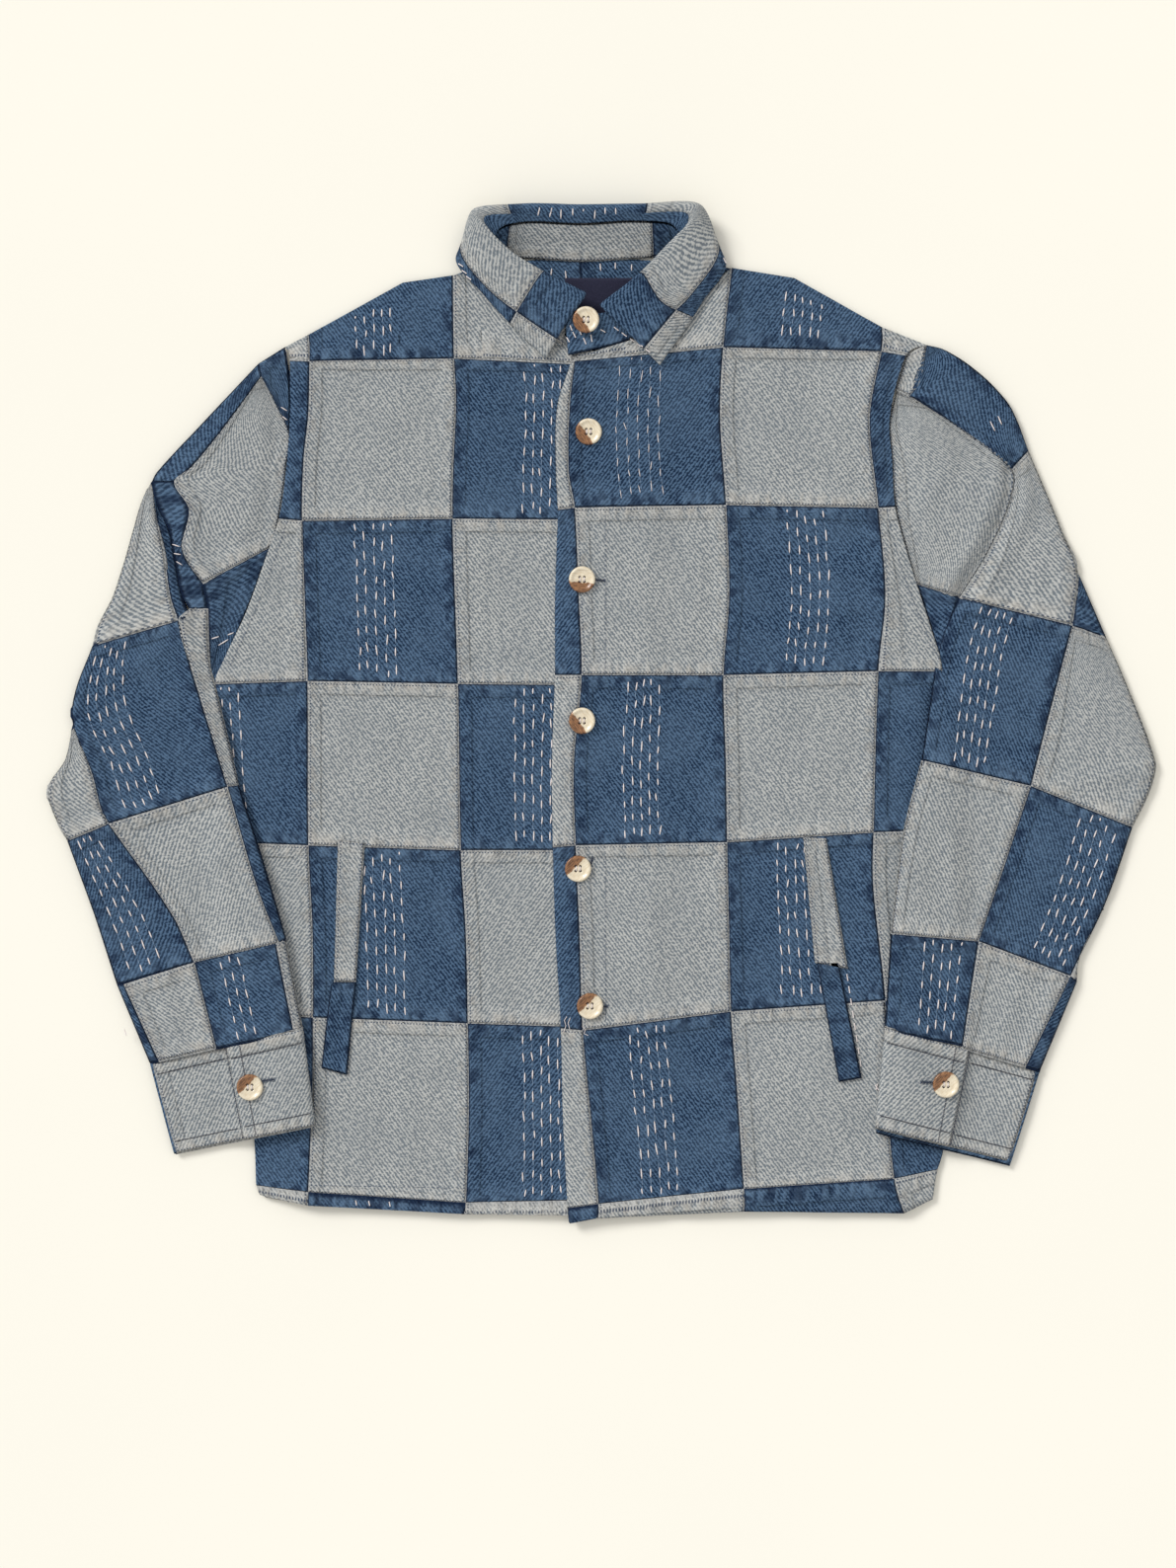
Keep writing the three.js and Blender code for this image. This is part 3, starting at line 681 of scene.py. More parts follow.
# the columns A, B and C of the right front and P, D, E and F of the left one, each patch by patch
# upwards from the hem's strip
rowTotal = 7
patchShades = {column: [pale, blue, pale, blue, pale, blue, pale] for column in "ACDF"}
patchShades.update({column: [blue, pale, blue, pale, blue, pale, blue] for column in "BE"})
patchShades["P"] = [blue, pale, blue, pale, blue, pale, pale]

# (column, row): where the middle row of stitches runs, how many rows, their spacing and thickness
stitchedPatches = {
    ("B", 6): (0.45, 5, 6.7, 1), ("E", 6): (0.48, 5, 7, 1), ("C", 5): (0.62, 5, 6.6, 1),
    ("D", 5): (0.455, 5, 8, 0.55), ("B", 4): (0.47, 5, 7, 1), ("E", 4): (0.52, 5, 7, 1),
    ("C", 3): (0.56, 5, 6.7, 1), ("D", 3): (0.44, 5, 6.4, 1), ("B", 2): (0.475, 5, 7, 1),
    ("E", 2): (0.465, 5, 6.8, 1), ("C", 1): (0.55, 5, 6.6, 1), ("D", 1): (0.43, 5, 6.8, 1),
    ("A", 3): (0.16, 3, 6, 1),
}

# (line, height, width) of each soft crease
bodyCreases = [
    ([(-236, 130), (-150, 90), (-60, 60)], -0.8, 9),
    ([(-270, 60), (-230, 75), (-180, 60)], 1.0, 8),
    ([(215, 150), (160, 120), (90, 105)], -0.8, 9),
    ([(240, 70), (200, 85), (150, 70)], 1.0, 8),
    ([(-95, 230), (-100, 150), (-90, 60)], 0.6, 8),
    ([(60, 250), (75, 160), (70, 80)], 0.6, 8),
    ([(-36, -150), (-60, -200), (-70, -300)], -0.7, 8),
    ([(30, -150), (50, -250), (40, -340)], 0.6, 9),
    ([(-205, -30), (-160, -60), (-120, -70)], 0.6, 8),
    ([(120, -140), (170, -180), (200, -230)], -0.6, 9),
]


def partWay(left, right, share, top):
    # a line inside a patch; at the top row it leaves its straight place between its neighbours
    a, b = throughPoints(left), throughPoints(right)
    end = mixPoint(a(rowTotal), b(rowTotal), share)

    def at(v):
        x, y = mixPoint(a(v), b(v), share)
        bend = ease(v - (rowTotal - 1))
        return [x + (top[0] - end[0]) * bend, y + (top[1] - end[1]) * bend]
    return at


def fromSide(which, x, y):
    # how far inside the body's side seam a place is, or how far from the underarm above it
    ux, uy = underarms[which]
    if y > uy:
        return math.hypot(x - ux, y - uy)
    return (x - sideAt[which](y)[0]) * (1 if which == "right" else -1)


def frontTop(which, x, y):
    # height of the fronts' outer face
    inside = fromSide(which, x, y)
    if y > 230:
        inside = min(inside, distanceTo(shoulders[which], x, y))
    rise = ease(inside / body["ramp"])
    top = body["low"] + body["wall"] + body["loft"] * rise
    if which == "left":
        top += body["lapRise"] * (1 - ease((x - body["lapWidth"]) / body["lapWidth"]))
        if x < body["lapWidth"] and y < body["lapTop"]:
            t = max(0.0, 1 - (x - lapEdgeAt(y)[0]) / body["lapRound"])
            top -= t * t
    soft = rippled(bodyRipples, x, y) + creaseSum(bodyCreases, x, y)
    top += rise * max(-body["valley"], soft)
    return top + body["hemRise"] * ease((body["hemLine"] - y) / body["hemWidth"])


# how many rows of faces a patch of the fronts has
frontSteps = {"hem": 5, "row": 50, "top": 24}

# the machine's stitches on the fronts, as (front, line)
frontTopstitches = [
    ("left", [(2.6, 155), (2.6, 90), (2.6, 29)]), ("left", [(2.6, -100), (2.6, -166), (3, -233)]),
    ("left", [(216, 155), (223.9, 121.9), (237.4, 82.9), (256.9, 38.6)]),
    ("right", [(-238.5, 146), (-248, 118), (-263, 78), (-283, 34)]),
    ("right", [(-218, -357), (-160, -358), (-107, -359)]),
]


def buildFront(which, columns, insides):
    # columns: (name, left line, right line, seam on its left, seam on its right)
    # insides: lines that only shape the cloth between two seams
    def height(x, y):
        return frontTop(which, x, y)

    cloth = Cloth(f"{which}FrontCloth")
    threads, pulled = [], []
    for column, leftLine, rightLine, seamLeft, seamRight in columns:
        lines = [leftLine, *insides.get(column, []), rightLine]
        for row in range(rowTotal):
            rowCount = frontSteps["hem"] if row == 0 else frontSteps["row"]
            if row == rowTotal - 1:
                rowCount = frontSteps["top"]
            for k, (a, b) in enumerate(zip(lines, lines[1:])):
                place, size = betweenRails(a, b, row, row + 1, height)
                columnCount = max(3, round(math.dist(a(3), b(3)) / cloth.spacing))
                seams = (seamLeft and k == 0, seamRight and k == len(lines) - 2, row > 0,
                         row < rowTotal - 1)
                cloth.patch(place, patchShades[column][row], size, seams, (columnCount, rowCount),
                            key=(which, column, row))
            if (column, row) in stitchedPatches:
                centre, count, spacing, thin = stitchedPatches[column, row]
                place, size = betweenRails(leftLine, rightLine, row, row + 1, height)
                rows = rowsAt(centre, centre, size[0], count, spacing)
                runningStitches(threads, place, size[1], rows, thin=thin, pulled=pulled)
    return (cloth.finish(), newStitches(f"{which}FrontStitches", threads, stitchThread),
            newStitches(f"{which}FrontPulls", pulled, faintThread))


def makeFronts():
    insides = {"B": [partWay(seamAB, seamBC, 0.62, (-151, 327.5))],
               "C": [partWay(seamBC, underlap, 0.2, (-93, 336))],
               "D": [partWay(seamPD, seamDE, 0.33, (24, 284)), partWay(seamPD, seamDE, 0.7, (62, 313))],
               "E": [partWay(seamDE, seamEF, 0.4, (146, 331))]}
    side, ab, bc, under = (throughPoints(line) for line in (sideRight, seamAB, seamBC, underlap))
    right = buildFront("right", [("A", side, ab, 0, 1), ("B", ab, bc, 1, 1),
                                 ("C", bc, under, 1, 0)], insides)
    edge, pd, de, ef, side = (throughPoints(line) for line in (
        lapEdge, seamPD, seamDE, seamEF, sideLeft))
    left = buildFront("left", [("P", edge, pd, 0, 1), ("D", pd, de, 1, 1), ("E", de, ef, 1, 1),
                               ("F", ef, side, 1, 0)], insides)
    machine = []
    for which, line in frontTopstitches:
        dashedLine(machine, line, lambda x, y: frontTop(which, x, y) + allowance["height"])
    topstitching = newStitches("frontTopstitching", machine, blueThread)
    for (front, stitches, pulls), node in ((right, "right_front"), (left, "left_front")):
        settle(front, node)
        settle(stitches)
        settle(pulls)
    settle(topstitching)
    return right[0], left[0]


rightFront, leftFront = makeFronts()
print("fronts made")


def makeBack():
    cloth = Cloth("backCloth", 6)
    threads = []
    half = partWay(seamAB, seamBC, 0.62, (-151, 325))
    otherHalf = partWay(seamDE, seamEF, 0.4, (146, 328))
    neckRight = partWay(seamBC, seamDE, 0.1, (-94, 340))
    neckLeft = partWay(seamBC, seamDE, 0.87, (74, 341))
    middle = partWay(seamBC, seamDE, 0.5, (-16, 349))
    side, ab, bc, de, ef, otherSide = (throughPoints(line) for line in (
        sideRight, seamAB, seamBC, seamDE, seamEF, sideLeft))
    # the back stays this far inside the fronts' hem and sides
    tucked = {"hem": 5, "side": 1.2}

    def inward(rail, shift=0.0):
        return lambda v: [rail(v)[0] + shift, rail(v)[1] + tucked["hem"] * ease(1 - v)]

    lines = [inward(side, tucked["side"]), inward(ab), inward(half), inward(bc), inward(neckRight),
             inward(middle), inward(neckLeft), inward(de), inward(otherHalf), inward(ef),
             inward(otherSide, -tucked["side"])]
    # the column of patches that each strip between two lines belongs to
    columns = [0, 1, 1, 2, 2, 3, 3, 4, 4, 5]
    top, last = rowTotal - 1, len(columns) - 1
    for k, (a, b) in enumerate(zip(lines, lines[1:])):
        column = columns[k]
        seams = (k > 0 and columns[k - 1] != column, k < last and columns[k + 1] != column)
        for row in range(rowTotal):
            shade = blue if (column + row) % 2 or (row == top and column in (2, 3)) else pale
            place, size = betweenRails(a, b, row, row + 1, lambda x, y: body["wall"])
            counts = (max(2, round(math.dist(a(3), b(3)) / cloth.spacing)), 2 if row == 0 else 22)
            cloth.patch(place, shade, size, (*seams, row > 0, row < top), counts, lift=False)
            if row == top and k in (4, 5):
                runningStitches(threads, place, size[1], rowsAt(0.5, 0.5, size[0], 6, 11))
    piece = cloth.finish(body["wall"] - 0.1)
    settle(piece, "back")
    settle(newStitches("backStitches", threads, stitchThread))
    return piece


back = makeBack()
print("back made")


# in millimetres: how high a flattened sleeve stands, how wide its edges' rounding is, how far it rests
# over the body, how soon it rises from the armhole and from its edges, how much its middle swells and
# the least thickness that creases leave
sleeve = {"height": 6.2, "round": 6.5, "rest": 1.0, "join": 24, "edge": 16, "swell": 1.6, "least": 3.4}

sleeveRipples = [(1.6, 0.016, 0.012, 5.3), (0.7, 0.045, 0.03, 1.7)]

armholes = {"right": [(x, y) for _, x, y in sideRight[5:]],
            "left": [(x, y) for _, x, y in sideLeft[5:]]}
# the outer edge and then the inner one, both from the shoulder down
sleeveEdges = {
    "right": [[(-240.4, 278.6), (-260.6, 265.9), (-298.9, 225.4), (-337.1, 184.1), (-341.6, 175.9),
               (-348.4, 163.1), (-355.1, 141.4), (-362.6, 115.1), (-371.6, 88.1), (-382.1, 67.9),
               (-386.6, 51.4), (-395.6, 28.1), (-400.9, 12.4), (-400.9, -7.1), (-406.9, -34.1),
               (-417.4, -50.6), (-418.9, -67.9), (-412.1, -87.4), (-405.4, -96.4), (-385.1, -151.9),
               (-367.9, -205.1), (-354.4, -237.4), (-343.1, -264.4)],
              [(-293.6, 22.9), (-292.9, 21.4), (-284.6, -10.9), (-274.9, -53.6), (-256.1, -111.4),
               (-238.9, -169.9), (-226.1, -238.9)]],
    "left": [[(246.4, 280.1), (259.9, 276.4), (283.1, 261.4), (303.4, 241.9), (312.4, 228.4),
              (323.6, 199.9), (349.9, 137.6), (361.9, 106), (382.9, 57.4), (400.1, 17.6),
              (419.6, -34.1), (419.6, -45.4), (412.9, -64.9), (402.4, -85.9), (382.1, -142.9),
              (361.9, -185.6), (360.4, -202.9), (332.6, -269.6)],
             [(258.4, 32.6), (251.6, 27.4), (241.9, -34.9), (229.1, -84.4), (223.9, -118.1),
              (218.6, -166.1), (214.1, -238.1)]],
}

# patches of each sleeve: shade, left line and right line, both from the cuff's end to the shoulder's,
# and where there are stitches (u of the middle row at the bottom, at the top, rows, spacing)
sleevePatches = {
    "right": [
        (blue, [(-341.6, 175.9), (-337.1, 184.1), (-299, 225), (-260.6, 265.9)],
         [(-324, 176), (-311, 187), (-292, 209.6), (-274, 233.6), (-258, 256)]),
        (blue, [(-258, 256), (-260.6, 265.9)], [(-236.6, 213.4), (-236.6, 246), (-240.4, 278.6)]),
        (pale, [(-301.9, 98.6), (-317.6, 124.1), (-312.5, 155), (-324, 176), (-311, 187),
                (-292, 209.6), (-274, 233.6), (-258, 256)],
         [(-249.4, 127.9), (-244.9, 148.1), (-238.7, 190), (-236.6, 213.4), (-258, 256)]),
        (blue, [(-296.6, 34.1), (-298, 79.9), (-301.9, 98.6)],
         [(-293.6, 22.9), (-269.6, 77.6), (-249.4, 127.9)]),
        (blue, [(-312.4, 80), (-318.4, 91), (-323.6, 116.6), (-328, 139.9), (-337, 158),
                (-341.6, 175.9)],
         [(-298.1, 79.9), (-301.9, 98.6), (-317.6, 124.1), (-312.5, 155), (-324, 176)]),
        (pale, [(-386.6, 51.4), (-382.1, 67.9), (-371.6, 88.1), (-362.6, 115.1), (-355.1, 141.4),
                (-348.4, 163.1), (-341.6, 175.9)],
         [(-320.6, 70.9), (-326.6, 89.6), (-331.1, 119.6), (-337, 146.6), (-340.1, 168.4), (-341.6, 175.9)]),
        (blue, [(-320.6, 70.9), (-326.6, 89.6), (-331, 119.6), (-337, 146.6), (-341.6, 175.9)],
         [(-312.4, 73.9), (-318.4, 91), (-323.6, 116.6), (-328, 139.9), (-337, 158), (-341, 175)]),
        (pale, [(-283.1, -55.1), (-296.6, -10.9), (-310.1, 31.1), (-320.6, 70.9), (-312.4, 80)],
         [(-274.9, -53.6), (-284.6, -10.9), (-292.9, 21.4), (-297, 39.4), (-298.1, 79.9)]),
        (blue, [(-373.1, -82.9), (-379.1, -72.4), (-386.6, -43.9), (-400.9, -8.6), (-400.1, 14.6),
                (-386.6, 51.4)],
         [(-283.1, -55.1), (-296.6, -10.9), (-310.1, 31.1), (-320.6, 70.9)],
         (0.335, 0.245, 5, 7.3)),
        (pale, [(-405.4, -96.4), (-418.9, -67.9), (-418.9, -52.9), (-406.9, -34.1), (-401.6, -9)],
         [(-373.1, -82.9), (-379.1, -72.4), (-386.6, -43.9), (-400.9, -8.6)]),
        (blue, [(-367.9, -205.1), (-385.1, -151.9), (-405.4, -96.4)],
         [(-308.6, -187.9), (-325.1, -151.9), (-373.1, -82.9)], (0.42, 0.42, 4, 6.8)),
        (pale, [(-308.6, -187.9), (-325.1, -151.9), (-373.1, -82.9)],
         [(-244.1, -172.9), (-260.6, -130.9), (-283.1, -55.1)]),
        (blue, [(-244.1, -172.9), (-260.6, -130.9), (-283.1, -55.1)],
         [(-238.9, -169.9), (-256.1, -111.4), (-274.9, -53.6)]),
        (blue, [(-343.1, -264.4), (-354.4, -237.4), (-367.9, -205.1)], [(-335.6, -262.9), (-361.9, -205.5)]),
        (pale, [(-335.6, -262.9), (-361.9, -205.5)], [(-292.1, -253.1), (-308.6, -187.9)]),
        (blue, [(-292.1, -253.1), (-308.6, -187.9)], [(-232.9, -240.6), (-246.5, -173)], (0.42, 0.42, 3, 7)),
        (pale, [(-232.9, -240.6), (-246.5, -173)], [(-226.1, -238.9), (-238.9, -169.9)]),
    ],
    "left": [
        (blue, [(311, 186), (256.1, 226.9), (237.4, 238.9), (233, 241), (246.4, 280.1)],
         [(323.6, 199.9), (312.4, 228.4), (303.4, 241.9), (283.1, 261.4), (259.9, 276.4), (246.4, 280.1)]),
        (pale, [(222.4, 247.1), (230.6, 271.9)], [(233, 241), (240.4, 250.9), (246.4, 280.1)]),
        (pale, [(238.9, 98.6), (230.6, 125.6), (222.4, 157.1), (220.1, 194.6), (217.9, 218.6), (224, 245)],
         [(271.1, 88.1), (292.9, 122.6), (310.1, 161.6), (311, 186), (237.4, 238.9)]),
        (pale, [(271.1, 88.1), (292.9, 122.6), (310.1, 161.6), (311, 186)],
         [(356.6, 67.1), (361.1, 107.6), (349.9, 137.6), (323.6, 199.9)]),
        (blue, [(356.6, 67.1), (361.9, 106)], [(382.9, 57.4), (361.9, 106)]),
        (blue, [(258.4, 32.6), (248.6, 68.6), (238.9, 98.6)], [(259.1, 61.1), (271.1, 88.1)]),
        (blue, [(241.9, -34.9), (251.6, 27.4), (259.1, 61.1), (271.1, 88.1)],
         [(325.1, -54.4), (356.6, 67.1)], (0.42, 0.345, 5, 6.2)),
        (pale, [(325.1, -54.4), (356.6, 67.1)],
         [(402.4, -85.9), (412.9, -64.9), (419.6, -45.4), (419.6, -34.1), (400.1, 17.6), (382.9, 57.4)]),
        (pale, [(218.6, -166.1), (223.9, -118.1), (229.1, -84.4), (241.9, -34.9)],
         [(285.4, -172.1), (325.1, -54.4)]),
        (blue, [(285.4, -172.1), (325.1, -54.4)],
         [(355.1, -198.4), (382.1, -142.9), (402.4, -85.9)], (0.72, 0.69, 5, 6.8)),
        (pale, [(355.1, -198.4), (382.1, -142.9)], [(360.4, -202.9), (361.9, -185.6), (382.1, -142.9)]),
        (blue, [(214.1, -238.5), (218.6, -166.1)], [(273.2, -250.8), (285.4, -172.1)],
         (0.63, 0.595, 5, 6.6)),
        (pale, [(272.8, -253), (285.4, -172.1)], [(320.8, -267.2), (355.1, -198.4)]),
        (blue, [(320.8, -267.2), (355.1, -198.4)], [(332.2, -270.6), (360.4, -202.9)]),
    ],
}

sleeveCreases = {
    "right": [
        ([(-340, 172), (-329, 140), (-319, 108), (-308, 88)], -6.0, 6.5),
        ([(-344, 160), (-336, 130), (-327, 98), (-322, 76)], 2.6, 6),
        ([(-318, 160), (-306, 120), (-296, 95)], 2.4, 9),
        ([(-322, 60), (-345, 40), (-372, 30)], 1.4, 8),
        ([(-283, -50), (-330, -68), (-372, -84)], 1.6, 7),
        ([(-310, -186), (-326, -152), (-372, -86)], 1.8, 5),
        ([(-320, -192), (-338, -156), (-385, -100)], -1.6, 6),
        ([(-295, 30), (-305, -20), (-300, -60)], 1.0, 9),
        ([(-266, -200), (-272, -160), (-292, -110)], 1.2, 9),
        ([(-320, -250), (-330, -215), (-345, -170)], 1.0, 8),
    ],
    "left": [
        ([(272, 90), (293, 124), (309, 162), (311, 190)], -4.8, 7),
        ([(262, 96), (282, 130), (298, 165), (303, 200)], 1.8, 8),
        ([(285, 84), (306, 122), (322, 160), (322, 186)], 2.2, 8),
        ([(246, 160), (262, 190), (256, 222)], 1.4, 9),
        ([(270, 70), (300, 20), (330, -30)], 1.2, 10),
        ([(357, 70), (345, 20), (330, -40)], -1.4, 7),
        ([(420, -40), (390, -46), (350, -52)], 1.2, 7),
        ([(240, -40), (262, -90), (268, -150)], 1.2, 9),
        ([(325, -58), (310, -110), (290, -165)], -1.0, 6),
        ([(236, -225), (244, -190), (250, -150)], 1.0, 7),
        ([(300, -255), (312, -215), (322, -180)], 1.0, 7),
    ],
}


def restUnder(which, x, y):
    # what a sleeve or cuff lies on: the surface, then the body's edge, then the front
    _, uy = underarms[which]
    fade = ease((uy + 20 - y) / 50)
    inside = fromSide(which, x, min(y, uy))
    overEdge = body["low"] + body["wall"] + sleeve["rest"]
    if inside < 0:
        return overEdge * ease((inside + body["ramp"]) / body["ramp"]) * fade
    return (overEdge + body["loft"] * ease(inside / body["ramp"])) * fade


def sleeveFace(which, upper):
    # height of the sleeve's upper or lower face
    edges, armhole, creases = sleeveEdges[which], armholes[which], sleeveCreases[which]
    half = sleeve["height"] / 2
    underneath = 0.1

    def at(x, y):
        gap = min(distanceTo(line, x, y) for line in edges)
        t = min(1.0, gap / sleeve["round"])
        curve = half * math.sqrt(1 - (1 - t) ** 2)
        z = restUnder(which, x, y) + half + (curve if upper else -curve)
        if upper:
            swell = sleeve["swell"] + rippled(sleeveRipples, x, y) + creaseSum(creases, x, y)
            z += ease(gap / sleeve["edge"]) * swell
            z = max(z, restUnder(which, x, y) + sleeve["least"] * t)
        joined = body["low"] + (body["wall"] if upper else underneath)
        return mix(joined, z, ease(distanceTo(armhole, x, y) / sleeve["join"]))
    return at


# single stitches that show where a stitched patch is mostly folded out of sight, in millimetres
looseLook = {"width": 1.0, "rise": 0.3, "lift": 0.4}
looseStitches = {
    "right": [((-326, 129), (-320, 127)), ((-325, 122), (-319, 121)), ((-323, 116), (-318, 113)),
              ((-243.5, 233), (-238.5, 230)), ((-242.5, 226), (-238.5, 223)), ((-296, 57), (-290, 59)),
              ((-291, 52), (-283, 57)), ((-284, 60), (-279, 62)), ((-362, -238), (-360, -244))],
    "left": [((300, 226), (303, 219)), ((294, 222), (298, 214))],
}


# how far and how deep a sleeve's patch runs in under its neighbours, and how near to the sleeve's edge
# it doesn't, in millimetres
sleeveTuck = {"width": 1.2, "drop": 0.7, "edge": 0.8}


def makeSleeve(which):
    def onEdge(x, y):
        return min(distanceTo(line, x, y) for line in sleeveEdges[which]) < sleeveTuck["edge"]

    cloth = Cloth(f"{which}SleeveCloth")
    threads, pulled = [], []
    over, under = sleeveFace(which, True), sleeveFace(which, False)
    for shade, left, right, *stitched in sleevePatches[which]:
        rails = railThrough(left), railThrough(right)
        place, size = betweenRails(*rails, 0, 1, over)
        cloth.patch(place, shade, size, tuck=(sleeveTuck["width"], sleeveTuck["drop"], onEdge))
        underPlace, _ = betweenRails(*rails, 0, 1, under)
        cloth.patch(underPlace, shade, size, down=True, lift=False)
        if stitched:
            low, high, count, spacing = stitched[0]
            runningStitches(threads, place, size[1], rowsAt(low, high, size[0], count, spacing),
                            lift=allowance["height"] * 0.3, pulled=pulled)
    for a, b in looseStitches[which]:
        start, stop = ((*spot, over(*spot) + looseLook["lift"]) for spot in (a, b))
        layStitch(threads, start, stop, looseLook["width"], looseLook["rise"])
    piece = cloth.finish(1.3)
    stitches = newStitches(f"{which}SleeveStitches", threads, stitchThread)
    pulls = newStitches(f"{which}SleevePulls", pulled, faintThread)
    settle(piece, f"{which}_sleeve")
    settle(stitches)
    settle(pulls)
    return piece


rightSleeve = makeSleeve("right")
leftSleeve = makeSleeve("left")
print("sleeves made")


# in millimetres: how thick one layer is and what lies between two, the cuff's laid width, its depth,
# the part of it between its two sewn edges and how large its faces are
cuff = {"thickness": 2.4, "gap": 0.6, "width": 112, "depth": 74, "sewn": 72, "spacing": 2.2}
cuffStitch = {"share": 0.72, "width": 0.95, "rise": 0.3}  # share of each step that shows its thread
# outer and inner corner at the sleeve, then inner and outer corner at the hand
cuffCorners = {"right": [(-343, -264), (-226, -237), (-216.5, -311.5), (-324.5, -333.5)],
               "left": [(333, -268), (214, -236), (206.5, -313.5), (310.5, -339.5)]}
cuffLap = {"right": 0.5, "left": 0.54}  # where the upper end of the band stops, from the inner fold
cuffCreases = {
    "right": [([(-284, -254), (-262, -320)], -0.9, 3), ([(-330, -275), (-300, -300)], 0.9, 9),
              ([(-250, -250), (-236, -300)], 0.8, 8)],
    "left": [([(272, -255), (262, -322)], -0.9, 3), ([(318, -280), (296, -315)], 0.9, 9),
             ([(232, -250), (226, -300)], 0.8, 8)],
}


def spotOnCuff(which, s, v, level):
    # s runs from the inner fold 0 to the outer one 1, v from the cuff's edge to the sleeve's seam
    outerTop, innerTop, innerBottom, outerBottom = cuffCorners[which]
    x, y = mixPoint(mixPoint(innerBottom, outerBottom, s), mixPoint(innerTop, outerTop, s), v)
    half = cuff["thickness"] / 2
    roll = max(0.0, 1 - (1 - v) * cuff["depth"] / 4) ** 2
    roll += 0.8 * max(0.0, 1 - max(v, 0.0) * cuff["depth"] / 3) ** 2
    soft = 0.0
    if level > half * 2:
        soft = 0.6 * max(0.0, math.sin(math.pi * v)) ** 0.6
        soft += 0.7 * noise.noise(Vector((x * 0.03, y * 0.05, 2.0)))
        soft += creaseSum(cuffCreases[which], x, y)
    return x, y, max(half + 0.05, restUnder(which, x, y) + level + half + soft - roll)


def makeCuff(which):
    # a band that starts under its own lap, goes round and ends on top; path holds (s, level)
    half = cuff["thickness"] / 2
    low, middle, high = half, half * 3 + cuff["gap"], half * 5 + cuff["gap"] * 2
    lap = cuffLap[which]
    path = [(lap - 0.22, middle), (lap, middle), (0.75, middle), (0.93, middle), (0.985, middle - 0.7),
            (1, mix(low, middle, 0.5)), (0.985, low + 0.7), (0.93, low), (0.7, low), (0.4, low), (0.2, low),
            (0.07, low), (0.012, low + 1.4), (0, mix(low, high, 0.5)), (0.012, high - 1.2), (0.06, high),
            (0.2, high), (lap - 0.24, high), (lap - 0.02, high + 0.1), (lap, high - 0.3)]
    rail = throughPoints([(k, *point) for k, point in enumerate(path)])
    cloth = Cloth(f"{which}CuffCloth")
    underShade = blue if which == "left" else pale
    for first, last, shade, seams in ((0, 4, pale, (0, 1)), (4, 6, blue, (0, 0)),
                                      (6, 12, underShade, (0, 0)), (12, 19, pale, (0, 0))):
        # the left cuff's lower layer shows below its upper one
        drop = 0.045 if which == "left" and shade == blue else 0.0
        steps = [rail(mix(first, last, k / 20)) for k in range(21)]
        run = [0.0]
        for a, b in zip(steps, steps[1:]):
            run.append(run[-1] + math.hypot((b[0] - a[0]) * cuff["width"], b[1] - a[1]))
        spread = throughPoints([(r / run[-1], mix(first, last, k / 20)) for k, r in enumerate(run)])

        def place(u, v):
            s, level = rail(spread(u)[0])
            return spotOnCuff(which, s, v - drop * (1 - v), level)

        counts = (max(4, round(run[-1] / cuff["spacing"])), 32)
        cloth.patch(place, shade, (run[-1], cuff["sewn"]), (*seams, 1, 1), counts, lift=False)
    bmesh.ops.remove_doubles(cloth.bm, verts=cloth.bm.verts, dist=0.05 * mm)
    bmesh.ops.recalc_face_normals(cloth.bm, faces=cloth.bm.faces)
    piece = cloth.finish(cuff["thickness"] - 0.2, weld=0.05)
    settle(piece, f"{which}_cuff")

    # topstitching as (start, end, level): along both edges of the two layers, and down the lap; the last
    # row is no stitching but a painted shadow line in dark thread along the lap's edge
    machine = []
    for a, b, level in (((0.02, 0.85), (lap - 0.015, 0.85), high),
                        ((0.02, 0.14), (lap - 0.015, 0.14), high),
                        ((lap - 0.085, 0.04), (lap - 0.085, 0.97), high),
                        ((lap + 0.03, 0.86), (0.97, 0.86), middle),
                        ((lap + 0.03, 0.13), (0.97, 0.13), middle),
                        # a painted shadow line along the lap's edge
                        ((lap + 0.006, 0.02), (lap + 0.006, 0.98), high)):
        spots = [Vector(spotOnCuff(which, *mixPoint(a, b, k / 60), level)) for k in range(61)]
        for start, stop in zip(spots, spots[1:]):
            end = start.lerp(stop, cuffStitch["share"])
            layStitch(machine, start, end, cuffStitch["width"], cuffStitch["rise"])
    settle(newStitches(f"{which}CuffTopstitchingAndLapShade", machine, navyCloth))
    return piece


rightCuff = makeCuff("right")
leftCuff = makeCuff("left")
print("cuffs made")


# the collar's lines as (x, y, z), each from the wearer's right point round the back to the left one
neckSeam = [(-30, 280, 4.9), (-58, 296, 4.9), (-79, 314, 4.6), (-92, 337, 3.2), (-85, 345, 1.5),
            (-60, 346, 1.4), (-16, 344, 1.4), (27, 346, 1.4), (59, 347, 1.5), (70, 337, 3.2),
            (59, 315, 4.6), (41, 296, 5.2), (20, 284, 6.5), (-25.5, 271.5, 9.6)]
standTop = [(-22, 316, 9.5), (-46, 321, 11), (-67, 333, 13), (-81, 349, 14), (-78, 366, 15),
            (-60, 372, 15), (-16, 371, 15), (27, 373, 15), (54, 369, 15), (60, 354, 14),
            (44, 331, 13), (27, 316, 12), (6, 306, 11.8), (-28, 304, 12.2)]
rollLine = [(-12.4, 317.6, 14), (-44.6, 333.4, 17), (-70, 349, 19.5), (-90, 369, 21.5), (-96, 379, 20.5),
            (-60, 382, 20.5), (-16, 381.5, 20), (27, 382, 20.5), (72, 382, 20.5), (69, 373, 22),
            (49, 352, 19.5), (30, 333, 17), (-1, 308.6, 15.5)]
